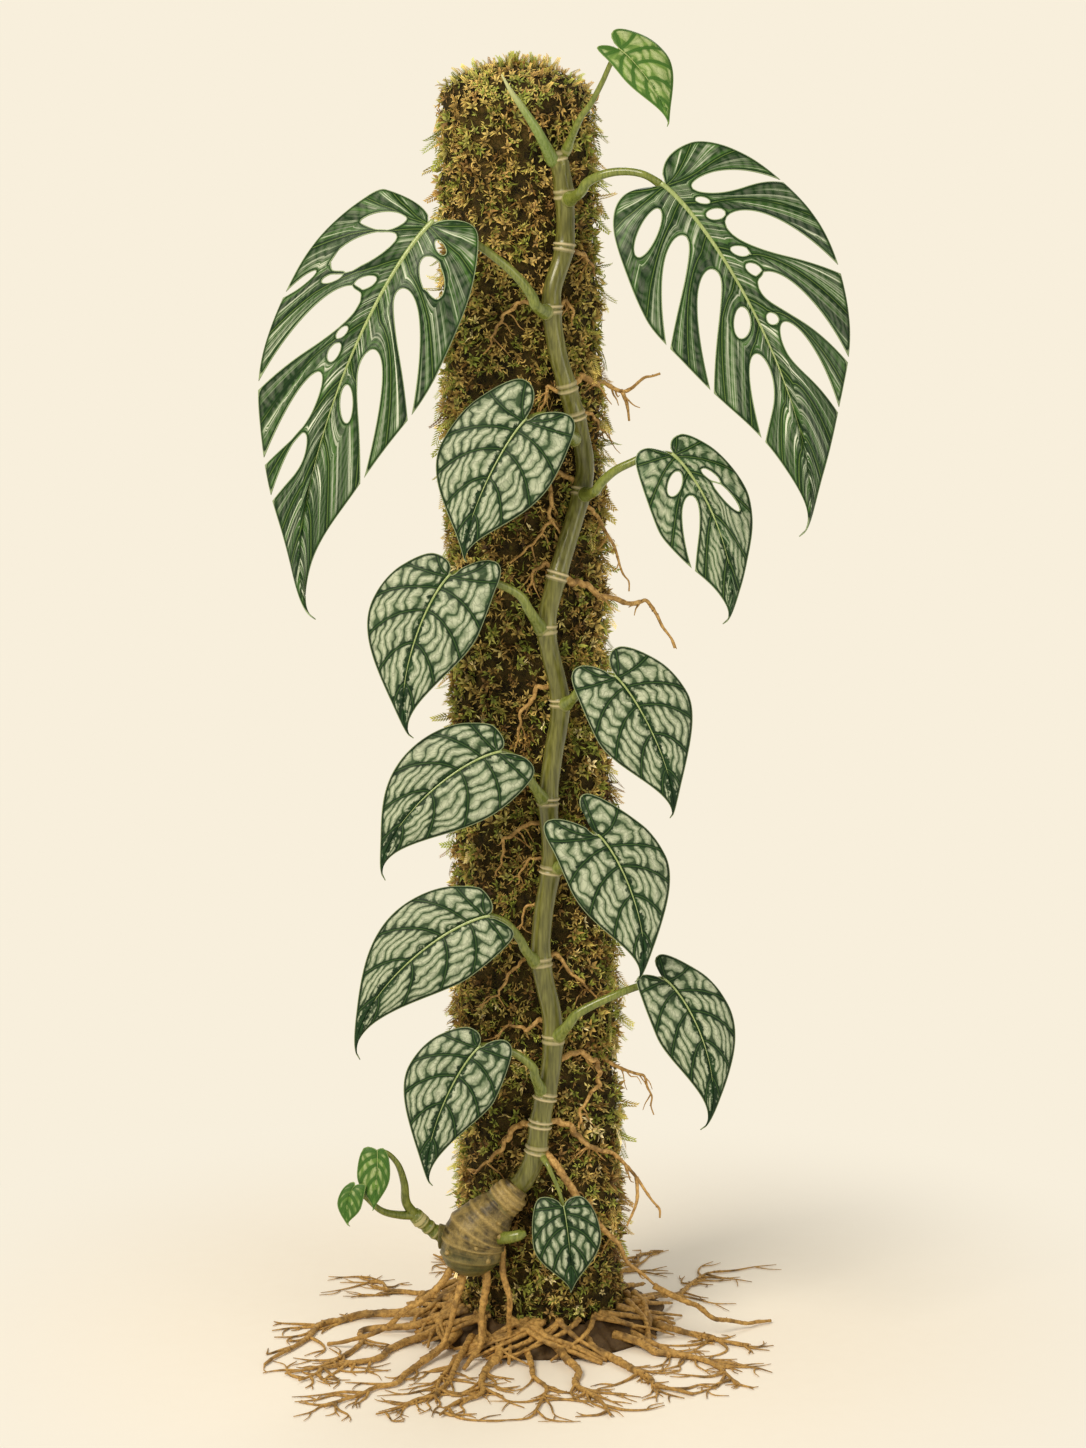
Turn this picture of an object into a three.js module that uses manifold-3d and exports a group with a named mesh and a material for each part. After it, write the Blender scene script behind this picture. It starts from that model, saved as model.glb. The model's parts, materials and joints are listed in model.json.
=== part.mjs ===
// Monstera siltepecana, a climbing aroid, growing up a moss-covered post.
// Millimetres, +Z up. The origin is the centre of the post's foot, on the surface it stands on.
// The stem climbs the post's front, which is its -Y side, and the leaves face that way.
import * as THREE from 'three';
import { mergeVertices } from 'three/addons/utils/BufferGeometryUtils.js';
import Module from 'manifold-3d';

const wasm = await Module();
wasm.setup();

// ---- driving dimensions ----
const POST_HEIGHT = 750;
const POST_FOOT_R = 46;
const POST_TOP_R = 41;
const POST_LEAN = -0.021;      // sideways shift per millimetre of height
const POST_DOME = 20;          // height of the rounded top
const MOSS_BUMP = 2.2;         // how far the cushions of moss stand out of the post
const SPRIG_ROOT = 3.5;        // how deep a sprig of moss is rooted in the post
const SIDE_SPRIGS = 84;
const TOP_SPRIGS = 26;
const SEAT = 0.3;              // gap between pieces that touch
const STEM_R = 5.3;
const BLADE = 1.0;             // leaf blade thickness
const BLADE_ARCH = 0.24;       // rise of each half blade between midrib and margin
const BLADE_DROOP = 0.06;      // how far the tip hangs back, as a share of the length
const PETIOLE_END_R = 2.1;

// ---- seeded draws, so that every run gives the same plant ----
function seeded(seed) {
  let state = seed;
  return () => {
    state = (state * 1664525 + 1013904223) % 4294967296;
    return state / 4294967296;
  };
}

// ---- solids ----
function solidOf(geometry) {
  const bare = geometry.clone();
  bare.deleteAttribute('normal');
  bare.deleteAttribute('uv');
  const merged = mergeVertices(bare, 1e-4);
  const index = merged.index.array;
  const kept = [];
  for (let i = 0; i < index.length; i += 3) {
    const [a, b, c] = [index[i], index[i + 1], index[i + 2]];
    if (a !== b && b !== c && c !== a) kept.push(a, b, c);
  }
  return new wasm.Manifold(new wasm.Mesh({
    numProp: 3,
    vertProperties: new Float32Array(merged.attributes.position.array),
    triVerts: new Uint32Array(kept),
  }));
}

function geometryOf(solid) {
  const mesh = solid.getMesh();
  const geometry = new THREE.BufferGeometry();
  geometry.setAttribute('position', new THREE.BufferAttribute(mesh.vertProperties, 3));
  geometry.setIndex(new THREE.BufferAttribute(mesh.triVerts, 1));
  geometry.computeVertexNormals();
  return geometry;
}

function joined(solids) {
  return solids.reduce((whole, next) => whole.add(next));
}

function largestBody(solid) {
  return solid.decompose().sort((a, b) => b.volume() - a.volume())[0];
}

// A capped cylinder bent along a smooth line through the points. stops are the places of its
// rings along the line, from 0 to 1, and floor is the lowest height that it may reach.
function bentTube(points, radiusAt, stops, sides, floor = -Infinity) {
  const line = new THREE.CatmullRomCurve3(points, false, 'centripetal');
  line.arcLengthDivisions = 400;
  const count = stops.length - 1;
  const fine = 120;
  const frames = line.computeFrenetFrames(fine, false);
  const tube = new THREE.CylinderGeometry(1, 1, 1, sides, count);
  const spots = tube.attributes.position;
  const spot = new THREE.Vector3();
  for (let i = 0; i < spots.count; i += 1) {
    const t = stops[Math.round((0.5 - spots.getY(i)) * count)];
    const step = Math.round(t * fine);
    const r = radiusAt(t);
    line.getPointAt(t, spot);
    spot.addScaledVector(frames.normals[step], spots.getX(i) * r);
    spot.addScaledVector(frames.binormals[step], spots.getZ(i) * r);
    spots.setXYZ(i, spot.x, spot.y, Math.max(spot.z, floor));
  }
  return solidOf(tube);
}

function evenStops(count) {
  return Array.from({ length: count + 1 }, (_, i) => i / count);
}

function point(xyz) {
  return new THREE.Vector3(...xyz);
}

// ---- the post ----
function postAxisX(z) {
  return POST_LEAN * z;
}

function postRadius(z) {
  return THREE.MathUtils.lerp(POST_FOOT_R, POST_TOP_R, z / POST_HEIGHT);
}

// Lays an [x, z] place on the post's front, off millimetres out from its core.
function onPost(x, z, off) {
  const sideways = x - postAxisX(z);
  const reach = postRadius(z) + off;
  return new THREE.Vector3(x, -Math.sqrt(Math.max(reach * reach - sideways * sideways, 0)), z);
}

// A route over the post: [x, z] places lie on the moss, [x, y, z] places stand free of it.
function routeOnPost(places, off) {
  const route = [];
  places.forEach((place, i) => {
    const free = place.length === 3;
    route.push(free ? point(place) : onPost(place[0], place[1], off));
    const next = places[i + 1];
    if (!free && next && next.length === 2) {
      for (const share of [1 / 3, 2 / 3]) {
        const x = THREE.MathUtils.lerp(place[0], next[0], share);
        const z = THREE.MathUtils.lerp(place[1], next[1], share);
        route.push(onPost(x, z, off));
      }
    }
  });
  return route;
}

// The front is packed close by the stem and its roots, and the moss is deeper round the back.
function mossyPost(extra) {
  const rings = 20;
  const sides = 20;
  const profile = [new THREE.Vector2(0, 0)];
  for (let i = 0; i <= rings; i += 1) {
    const z = (i / rings) * (POST_HEIGHT - POST_DOME);
    profile.push(new THREE.Vector2(postRadius(z), z));
  }
  for (const rise of [0.4, 0.7, 0.9]) {
    const z = POST_HEIGHT - POST_DOME * (1 - rise);
    profile.push(new THREE.Vector2(postRadius(z) * Math.sqrt(1 - rise * rise), z));
  }
  profile.push(new THREE.Vector2(0, POST_HEIGHT));
  const lathe = new THREE.LatheGeometry(profile, sides).rotateX(Math.PI / 2);
  const spots = lathe.attributes.position;
  for (let i = 0; i < spots.count; i += 1) {
    const [x, y, z] = [spots.getX(i), spots.getY(i), spots.getZ(i)];
    const angle = Math.atan2(y, x);
    const bump = Math.sin(5 * angle + 0.043 * z) * Math.sin(3 * angle - 0.061 * z + 1.3);
    const footing = Math.min(z / 60, 1);
    const depth = MOSS_BUMP * (1 + 0.7 * footing * (1 + Math.sin(angle)));
    const swell = depth * (0.5 + 0.5 * bump) + extra;
    const reach = Math.hypot(x, y);
    const grow = reach > 1 ? swell / reach : 0;
    spots.setXYZ(i, x * (1 + grow) + postAxisX(z), y * (1 + grow), z);
  }
  return solidOf(lathe);
}

// Sprigs of moss that stand out of the post's sides and back and hang down, and upright ones
// on its top. The front, where the stem and its roots lie, is left free.
function mossSprigs(keepClear) {
  const draw = seeded(7);
  const sprigs = [];
  const spread = 0.62 * Math.PI;
  const lowest = 40;
  const clearance = 8;
  for (let i = 0; i < SIDE_SPRIGS; i += 1) {
    const angle = Math.PI / 2 + (draw() * 2 - 1) * spread;
    const z = lowest + (POST_HEIGHT - POST_DOME - lowest) * draw();
    const length = SPRIG_ROOT + 9 + 9 * draw();
    const hang = 0.5 + 0.9 * draw();
    const root = new THREE.Vector3(Math.cos(angle), Math.sin(angle), 0);
    const way = root.clone().add(new THREE.Vector3(0, 0, -hang)).normalize();
    const reach = postRadius(z) - SPRIG_ROOT;
    const foot = root.multiplyScalar(reach).add(new THREE.Vector3(postAxisX(z), 0, z));
    const tip = foot.clone().addScaledVector(way, length);
    const isFree = keepClear.every((spot) => (
      spot.distanceTo(tip) > clearance && spot.distanceTo(foot) > clearance));
    if (isFree) sprigs.push(sprig(foot, way, length, 2.4 + 1.6 * draw()));
  }
  const fan = 70;
  for (let i = 0; i < TOP_SPRIGS; i += 1) {
    const angle = 2 * Math.PI * draw();
    const share = 0.9 * Math.sqrt(draw());
    const [x, y] = [share * POST_TOP_R * Math.cos(angle), share * POST_TOP_R * Math.sin(angle)];
    const top = POST_HEIGHT - POST_DOME * (1 - Math.sqrt(1 - share * share));
    const foot = new THREE.Vector3(x + postAxisX(top), y, top - 2 * SPRIG_ROOT);
    const way = new THREE.Vector3(x / fan, y / fan, 1).normalize();
    sprigs.push(sprig(foot, way, 2 * SPRIG_ROOT + 5 + 9 * draw(), 2.4 + 1.2 * draw()));
  }
  return sprigs;
}

function sprig(foot, way, length, radius) {
  const cone = new THREE.ConeGeometry(radius, length, 3);
  cone.translate(0, length / 2, 0);
  cone.applyQuaternion(new THREE.Quaternion().setFromUnitVectors(new THREE.Vector3(0, 1, 0), way));
  cone.translate(foot.x, foot.y, foot.z);
  return solidOf(cone);
}

// ---- the stem: places are [x, z] on the post, and nodes are its ringed joints ----
const STEM_PLACES = [
  [8, 703], [12, 678], [12, 648], [5, 622], [8, 591], [14, 569], [21, 543], [24, 524], [22, 509],
  [13, 478], [6, 454], [2, 432], [10, 388], [6, 358], [3, 331], [5, 296], [0, 262], [-1, 236],
  [5, 205], [6, 189], [4, 168], [1, 154], [-2, 137], [-5, 118], [-12, 103], [-20, 96],
];
const STEM_NODES = [
  [12, 678], [12, 648], [5, 614], [14, 569], [17, 552], [22, 509], [9, 461], [2, 432], [10, 388],
  [3, 331], [5, 291], [-1, 236], [6, 189], [2, 156], [-2, 139], [-4, 123],
];
const RING_HEIGHT = 1.0;
const RING_REACH = 0.0034;
const stemOff = MOSS_BUMP + SEAT + STEM_R + 0.4;

function climbingStem(extra) {
  const points = STEM_PLACES.map(([x, z]) => onPost(x, z, stemOff));
  const line = new THREE.CatmullRomCurve3(points, false, 'centripetal');
  line.arcLengthDivisions = 400;
  const samples = line.getSpacedPoints(600);
  const rings = STEM_NODES.map(([x, z]) => {
    const at = onPost(x, z, stemOff);
    const gaps = samples.map((sample) => sample.distanceTo(at));
    return gaps.indexOf(Math.min(...gaps)) / 600;
  });
  const stops = new Set([0, 1]);
  rings.forEach((t) => [-1, 0, 1].forEach((k) => stops.add(t + k * RING_REACH)));
  const sorted = [...stops].filter((t) => t >= 0 && t <= 1).sort((a, b) => a - b);
  const filled = [];
  sorted.forEach((t, i) => {
    filled.push(t);
    const gap = sorted[i + 1] - t;
    if (gap > 0.03) filled.push(t + gap / 2);
  });
  const radiusAt = (t) => {
    const nearest = Math.min(...rings.map((ring) => Math.abs(ring - t)));
    const swell = nearest < RING_REACH / 2 ? RING_HEIGHT : 0;
    return STEM_R + 0.9 * t * t + swell + extra;
  };
  return bentTube(points, radiusAt, filled, 7);
}

// ---- the rhizome at the stem's foot: a stout stump on the roots, with a corky collar at its
// top and a branch to the left that carries the side shoot ----
const RHIZOME = [
  [-15, -56, 101], [-22, -57, 93], [-31, -58, 84], [-39, -58, 74], [-42, -58, 62], [-43, -58, 48],
];
const RHIZOME_R = [7.6, 10, 15, 18.6, 18, 12.5];
const RHIZOME_BRANCH = [[-44, -56, 71], [-53, -54, 70], [-61, -53, 70]];
const BRANCH_R = { start: 11, end: 6.8 };

function rhizome(extra) {
  const radiusAt = (t) => {
    const along = t * (RHIZOME_R.length - 1);
    const i = Math.min(Math.floor(along), RHIZOME_R.length - 2);
    const ripple = 0.35 * Math.cos(along * 11);
    return THREE.MathUtils.lerp(RHIZOME_R[i], RHIZOME_R[i + 1], along - i) + ripple + extra;
  };
  const stump = bentTube(RHIZOME.map(point), radiusAt, evenStops(14), 10);
  const branchAt = (t) => THREE.MathUtils.lerp(BRANCH_R.start, BRANCH_R.end, t) + extra;
  return stump.add(bentTube(RHIZOME_BRANCH.map(point), branchAt, evenStops(5), 10));
}

function rhizomeCollar() {
  const collar = [[-17, -58, 99], [-26, -58, 90]].map(point);
  return bentTube(collar, (t) => 9.8 + 1.4 * Math.sin(Math.PI * t), evenStops(4), 10);
}

// ---- leaf blades ----
// A blade lies in a plane through its sinus, where the stalk meets it, and its tip. u runs to
// its right and v down to the tip.
const MIDRIB_BOW = { rise: 0.65, fall: 0.5, ease: 0.04 };

function bow(leaf, v) {
  const { rise, fall, ease } = MIDRIB_BOW;
  const t = v / leaf.length;
  if (t < 0) return leaf.bend * t * rise * ease ** (rise - 1);
  const held = Math.min(t, 1);
  return leaf.bend * ((held + ease) ** rise - ease ** rise) * (1 - held) ** fall;
}

// The margin of a half blade in three curves: sinus to lobe top, lobe top to the widest place,
// and on to the drawn-out tip.
function marginOf(side, length) {
  const { width: w, lobe, lobeAt, full } = side;
  const widest = side.widest * length;
  const rest = length - widest;
  const top = lobeAt * w;
  const curve = (...xy) => new THREE.CubicBezierCurve(
    new THREE.Vector2(xy[0], xy[1]), new THREE.Vector2(xy[2], xy[3]),
    new THREE.Vector2(xy[4], xy[5]), new THREE.Vector2(xy[6], xy[7]));
  return [
    curve(0, 0, 0.1 * w, -0.62 * lobe, 0.55 * top, -lobe, top, -lobe),
    curve(top, -lobe, top + 0.56 * (w - top), -lobe, w, widest - 0.52 * (widest + lobe), w, widest),
    curve(w, widest, w, widest + full * rest, 0.1 * w, length - 0.3 * rest, 0, length),
  ];
}

const LOBE_SHARE = 0.14;
const SHOULDER_SHARE = 0.46;

function marginPoint(leaf, hand, q) {
  const [lobe, shoulder, flank] = hand > 0 ? leaf.rightMargin : leaf.leftMargin;
  let spot;
  if (q < LOBE_SHARE) spot = lobe.getPoint(q / LOBE_SHARE);
  else if (q < SHOULDER_SHARE) {
    spot = shoulder.getPoint((q - LOBE_SHARE) / (SHOULDER_SHARE - LOBE_SHARE));
  } else spot = flank.getPoint((q - SHOULDER_SHARE) / (1 - SHOULDER_SHARE));
  return new THREE.Vector2(hand * spot.x + bow(leaf, spot.y), spot.y);
}

// A place on the blade by its vein: q counts the veins round from the sinus to the tip, and r
// runs along one from the midrib, 0, to the margin, 1.
function bladePlace(leaf, hand, q, r) {
  const edge = marginPoint(leaf, hand, q);
  const start = Math.max((q - leaf.veins.first) / (1 - leaf.veins.first), 0) ** leaf.veins.crowd;
  const base = new THREE.Vector2(bow(leaf, start * leaf.length), start * leaf.length);
  const span = edge.clone().sub(base);
  const bend = base.clone().add(new THREE.Vector2(leaf.veins.out * span.x, leaf.veins.on * span.y));
  const place = base.multiplyScalar((1 - r) ** 2);
  place.addScaledVector(bend, 2 * r * (1 - r)).addScaledVector(edge, r * r);
  const length = span.length();
  const along = Math.max(place.y, 0) / leaf.length;
  let height = BLADE_ARCH * length * (r - 1.25 * r * r) - BLADE_DROOP * leaf.length * along ** 2;
  height += leaf.wave * r * r * Math.sin(2 * Math.PI * (5 * q + (hand > 0 ? 0 : 0.4)));
  return { u: place.x, v: place.y, height };
}

const HEART_VEINS = { first: 0.2, crowd: 1.5, out: 0.5, on: 0.22 };
const CUT_VEINS = { first: 0.28, crowd: 2.4, out: 0.45, on: 0.2 };

function makeLeaf(spec) {
  const sinus = point(spec.sinus);
  const down = point(spec.tip).sub(sinus);
  const length = down.length();
  down.normalize();
  const front = new THREE.Vector3(0, -1, 0).addScaledVector(down, down.y).normalize();
  const right = new THREE.Vector3().crossVectors(front, down);
  const roll = THREE.MathUtils.degToRad(spec.roll);
  const normal = front.clone().multiplyScalar(Math.cos(roll)).addScaledVector(right, Math.sin(roll));
  const across = right.clone().multiplyScalar(Math.cos(roll)).addScaledVector(front, -Math.sin(roll));
  return {
    wave: 0,
    veins: spec.slots ? CUT_VEINS : HEART_VEINS,
    ...spec,
    sinus,
    length,
    down,
    normal,
    across,
    leftMargin: marginOf(spec.left, length),
    rightMargin: marginOf(spec.right, length),
  };
}

function inLeafPlane(leaf, u, v, height) {
  return leaf.sinus.clone()
    .addScaledVector(leaf.across, u)
    .addScaledVector(leaf.down, v)
    .addScaledVector(leaf.normal, height);
}

// BoxGeometry splits its back face the other way from its front: this turns each back quad's
// diagonal, so that both faces of a blade are split alike.
function matchBackToFront(box) {
  const back = box.groups[5];
  const index = box.index;
  for (let i = back.start; i < back.start + back.count; i += 6) {
    const [a, b, d, c] = [index.getX(i), index.getX(i + 1), index.getX(i + 2), index.getX(i + 4)];
    [a, b, c, a, c, d].forEach((corner, k) => index.setX(i + k, corner));
  }
}

function blade(leaf, thickness) {
  const along = leaf.slots ? 14 : leaf.length > 60 ? 13 : 8;
  const outward = 2;
  const firstVein = 0.03;
  const box = new THREE.BoxGeometry(2, 1, 1, 2 * outward, along, 1);
  matchBackToFront(box);
  const spots = box.attributes.position;
  for (let i = 0; i < spots.count; i += 1) {
    const hand = spots.getX(i) < 0 ? -1 : 1;
    const q = firstVein + (1 - firstVein) * (0.5 - spots.getY(i));
    const { u, v, height } = bladePlace(leaf, hand, q, Math.abs(spots.getX(i)));
    const spot = inLeafPlane(leaf, u, v, height + spots.getZ(i) * thickness);
    spots.setXYZ(i, spot.x, spot.y, spot.z);
  }
  let solid = solidOf(box);
  for (const slot of leaf.slots ?? []) solid = solid.subtract(slotCutter(leaf, slot));
  return largestBody(solid);
}

// The value at a share of the way along a curve that is given at its start, middle and end.
function throughThree([start, middle, end], share) {
  const slope = 4 * middle - 3 * start - end;
  return start + slope * share + 2 * (start + end - 2 * middle) * share * share;
}

// A slot runs along the veins from its round inner end. One that goes past r = 1 is open at the
// margin, and one that stops short is a closed window.
function slotCutter(leaf, { hand, q, r, half }) {
  const reach = 30;
  const steps = half > 3 ? 6 : 3;
  const open = r[1] > 1;
  const origin = new THREE.Vector2();
  const flat = (qAt, rAt) => {
    const { u, v } = bladePlace(leaf, hand, qAt, rAt);
    return new THREE.Vector2(u, -v);
  };
  const edges = [[], []];
  for (let i = 0; i <= steps; i += 1) {
    const share = (1 - Math.cos((Math.PI * i) / steps)) / 2;
    const rAt = THREE.MathUtils.lerp(r[0], r[1], share);
    const qAt = throughThree(q, share);
    const here = flat(qAt, rAt);
    const ahead = flat(qAt, rAt + 0.02).sub(here).normalize();
    const sideways = ahead.rotateAround(origin, Math.PI / 2);
    const width = half * slotWidth(share, open);
    edges[0].push(here.clone().addScaledVector(sideways, width));
    if (width > 0.01) edges[1].unshift(here.clone().addScaledVector(sideways, -width));
  }
  const shape = new THREE.Shape([...edges[0], ...edges[1]]);
  const prism = new THREE.ExtrudeGeometry(shape, { depth: 2 * reach, bevelEnabled: false });
  const spots = prism.attributes.position;
  for (let i = 0; i < spots.count; i += 1) {
    const spot = inLeafPlane(leaf, spots.getX(i), -spots.getY(i), spots.getZ(i) - reach);
    spots.setXYZ(i, spot.x, spot.y, spot.z);
  }
  return solidOf(prism);
}

// A window is an ellipse. An open slot is a drop whose narrow end is its mouth at the margin.
function slotWidth(share, open) {
  if (!open) return Math.sqrt(Math.max(1 - (2 * share - 1) ** 2, 0));
  const round = 0.4;
  const mouth = 0.07;
  if (share < round) return Math.sqrt(Math.max(1 - (1 - share / round) ** 2, 0));
  return 1 - (1 - mouth) * ((share - round) / (1 - round)) ** 1.7;
}

const side = (width, widest, lobe, lobeAt, full) => ({ width, widest, lobe, lobeAt, full });
const slot = (hand, q, r, half) => ({ hand, q, r, half });
const LEFT = -1;
const RIGHT = 1;

// Young leaves: entire hearts, pressed flat in front of the post.
const HEART_LEAVES = [
  { name: 'heart_leaf_1', sinus: [-10, -76, 554], tip: [-43, -92, 476], roll: -8, bend: -18,
    left: side(33, 0.33, 21, 0.56, 0.46), right: side(33, 0.29, 12, 0.48, 0.46) },
  { name: 'heart_leaf_2', sinus: [-53, -76, 466], tip: [-74, -94, 376], roll: -10, bend: -30,
    left: side(32, 0.24, 10.5, 0.56, 0.38), right: side(33, 0.3, 13.5, 0.41, 0.32) },
  { name: 'heart_leaf_3', sinus: [41.5, -76, 408], tip: [72.5, -94, 330], roll: 10, bend: 21,
    left: side(30, 0.35, 13, 0.38, 0.33), right: side(29, 0.26, 15.5, 0.5, 0.29) },
  { name: 'heart_leaf_4', sinus: [-25, -78, 365], tip: [-90, -92, 293], roll: -8, bend: -38,
    left: side(27, 0.2, 9, 0.7, 0.6), right: side(33, 0.27, 7.5, 0.3, 0.36) },
  { name: 'heart_leaf_5', sinus: [32, -76, 316], tip: [53, -94, 234], roll: 8, bend: 28,
    left: side(32, 0.3, 15.5, 0.47, 0.4), right: side(27, 0.23, 25, 0.53, 0.3) },
  { name: 'heart_leaf_6', sinus: [-32, -78, 269], tip: [-106, -90, 187], roll: -12, bend: -43,
    left: side(28.5, 0.22, 9.5, 0.7, 0.45), right: side(29, 0.3, 4, 0.4, 0.25) },
  { name: 'heart_leaf_7', sinus: [71, -68, 229], tip: [92, -88, 145], roll: 14, bend: 35,
    left: side(24.5, 0.35, 6, 0.34, 0.29), right: side(23, 0.25, 15, 0.55, 0.39) },
  { name: 'heart_leaf_8', sinus: [-37, -76, 191], tip: [-64, -94, 113], roll: -6, bend: -24,
    left: side(28, 0.27, 9, 0.47, 0.34), right: side(26, 0.32, 8.5, 0.3, 0.2) },
  { name: 'heart_leaf_9', sinus: [12, -72, 94], tip: [16, -88, 47], roll: 0, bend: 4,
    left: side(21, 0.42, 6.5, 0.52, 0.45), right: side(19, 0.36, 5.5, 0.52, 0.4) },
  { name: 'top_leaf', sinus: [42, -74, 759], tip: [69, -88, 718], roll: 22, bend: 12,
    left: side(11, 0.3, 7, 0.6, 0.35), right: side(19, 0.26, 11, 0.5, 0.4) },
  { name: 'shoot_leaf_1', sinus: [-96, -82, 131], tip: [-99, -90, 97], roll: -10, bend: 3,
    left: side(12, 0.42, 1.5, 0.5, 0.45), right: side(7.5, 0.4, 1.5, 0.5, 0.4) },
  { name: 'shoot_leaf_2', sinus: [-109, -86, 111], tip: [-112, -94, 89], roll: -16, bend: -9,
    left: side(6, 0.4, 2, 0.5, 0.4), right: side(9, 0.45, 1.5, 0.5, 0.5) },
];

// Grown leaves: cut between the veins into fingers, with windows beside the midrib.
const CUT_LEAVES = [
  { name: 'cut_leaf_left', sinus: [-63, -80, 663], tip: [-130, -112, 447], roll: -14, bend: -62,
    wave: 1.6, left: side(52.5, 0.28, 12, 0.7, 0.47), right: side(49, 0.3, 7, 0.3, 0.31),
    slots: [
      slot(LEFT, [0.335, 0.3, 0.305], [0.25, 0.72], 4.9),
      slot(LEFT, [0.468, 0.455, 0.431], [0.18, 0.69], 7.4),
      slot(LEFT, [0.45, 0.448, 0.448], [0.78, 1.04], 2.2),
      slot(LEFT, [0.638, 0.592, 0.588], [0.22, 1.04], 8.2),
      slot(LEFT, [0.742, 0.722, 0.71], [0.36, 1.04], 6.8),
      slot(LEFT, [0.813, 0.79, 0.78], [0.52, 1.04], 4.3),
      slot(LEFT, [0.6, 0.589, 0.572], [0.14, 0.35], 2.4),
      slot(LEFT, [0.725, 0.718, 0.706], [0.25, 0.46], 2.6),
      slot(LEFT, [0.515, 0.502, 0.487], [0.5, 0.68], 1.6),
      slot(LEFT, [0.686, 0.68, 0.674], [0.24, 0.37], 1.6),
      slot(RIGHT, [0.387, 0.38, 0.37], [0.26, 0.48], 2.2),
      slot(RIGHT, [0.485, 0.46, 0.436], [0.25, 0.68], 5.5),
      slot(RIGHT, [0.6, 0.575, 0.59], [0.22, 1.03], 6.5),
      slot(RIGHT, [0.723, 0.7, 0.725], [0.27, 1.02], 7),
      slot(RIGHT, [0.784, 0.774, 0.764], [0.14, 0.55], 3.1),
    ] },
  { name: 'cut_leaf_right', sinus: [67.5, -80, 684], tip: [145, -112, 494], roll: 14, bend: 58,
    wave: 1.6, left: side(55, 0.31, 4, 0.3, 0.26), right: side(60, 0.25, 18, 0.56, 0.48),
    slots: [
      slot(RIGHT, [0.419, 0.358, 0.362], [0.18, 1.02], 5.3),
      slot(RIGHT, [0.582, 0.535, 0.525], [0.22, 1.04], 8.7),
      slot(RIGHT, [0.711, 0.67, 0.68], [0.27, 1.03], 6.9),
      slot(RIGHT, [0.784, 0.757, 0.77], [0.36, 1.03], 7),
      slot(RIGHT, [0.489, 0.487, 0.487], [0.12, 0.22], 1.7),
      slot(RIGHT, [0.555, 0.541, 0.524], [0.11, 0.28], 2.3),
      slot(RIGHT, [0.647, 0.64, 0.628], [0.14, 0.32], 2),
      slot(RIGHT, [0.679, 0.672, 0.662], [0.21, 0.37], 2.3),
      slot(RIGHT, [0.77, 0.758, 0.745], [0.2, 0.4], 1.7),
      slot(LEFT, [0.421, 0.404, 0.385], [0.28, 0.81], 4.6),
      slot(LEFT, [0.56, 0.538, 0.545], [0.26, 1.03], 6.2),
      slot(LEFT, [0.67, 0.65, 0.665], [0.22, 1.02], 6.3),
      slot(LEFT, [0.769, 0.757, 0.74], [0.13, 0.54], 3.8),
      slot(LEFT, [0.8, 0.772, 0.78], [0.27, 1.02], 6.6),
    ] },
  { name: 'cut_leaf_small', sinus: [73.5, -74, 534], tip: [102, -96, 442], roll: 12, bend: 33,
    wave: 0.6, left: side(32, 0.38, 8, 0.3, 0.33), right: side(24.5, 0.3, 10.5, 0.6, 0.3),
    slots: [
      slot(LEFT, [0.528, 0.514, 0.494], [0.17, 0.58], 3.6),
      slot(LEFT, [0.665, 0.66, 0.7], [0.25, 1.03], 5.4),
      slot(RIGHT, [0.541, 0.538, 0.541], [0.28, 0.56], 2.3),
      slot(RIGHT, [0.599, 0.606, 0.616], [0.39, 0.81], 3.2),
    ] },
];

// ---- leaf stalks: each starts in the stem, at a node, and ends behind its blade's sinus ----
const STALKS = {
  heart_leaf_1: [[19, 541], [16, -61, 543], [10, -66, 550], [0, -70, 556]],
  heart_leaf_2: [[2, 430], [-2, -60, 434], [-13, -66, 453], [-27, -70, 461], [-44, -71, 466]],
  heart_leaf_3: [[10, 388], [15, -60, 389], [21, -65, 399], [31, -70, 407]],
  heart_leaf_4: [[3, 331], [-2, -60, 336], [-9, -66, 349], [-17, -72, 361]],
  heart_leaf_5: [[5, 291], [11, -60, 293], [17, -65, 305], [25, -70, 314]],
  heart_leaf_6: [[-1, 235], [-7, -60, 238], [-13, -66, 252], [-22, -71, 264]],
  heart_leaf_7: [[5, 190], [10, -61, 194], [19, -64, 207], [39, -65, 218], [59, -63, 225]],
  heart_leaf_8: [[2, 156], [-3, -60, 162], [-6, -65, 176], [-20, -69, 187]],
  heart_leaf_9: [[-3, 124], [0, -62, 122], [5, -66, 112], [9, -68, 103]],
  top_leaf: [[11, 700], [16, -58, 715], [26, -63, 728], [33, -67, 741], [38, -70, 752]],
  cut_leaf_left: [
    [5, 614], [-2, -60, 611], [-6, -64, 622], [-14, -69, 633], [-26, -74, 644], [-44, -77, 656]],
  cut_leaf_right: [
    [12, 677], [19, -60, 676], [24, -65, 685], [33, -70, 690], [45, -74, 692], [57, -79, 690]],
  cut_leaf_small: [
    [22, 510], [28, -60, 509], [32, -63, 516], [40, -67, 524], [49, -70, 529], [60, -71.5, 533.5]],
};
const SLIM_STALKS = { heart_leaf_9: 0.5, top_leaf: 0.68 };

function behindSinus(leaf, radius, on) {
  return inLeafPlane(leaf, 0, on, -(radius + BLADE / 2 + SEAT + 0.2));
}

function stalk(leaf, places) {
  const slim = SLIM_STALKS[leaf.name] ?? 1;
  const endR = PETIOLE_END_R * slim;
  const [foot, ...free] = places;
  const points = [onPost(foot[0], foot[1], stemOff), ...free.map(point)];
  points.push(behindSinus(leaf, endR, 0.5), behindSinus(leaf, endR, 5));
  const radiusAt = (t) => endR + 2.1 * slim * (1 - t) ** 2.2;
  return bentTube(points, radiusAt, evenStops(6), 6);
}

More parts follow.
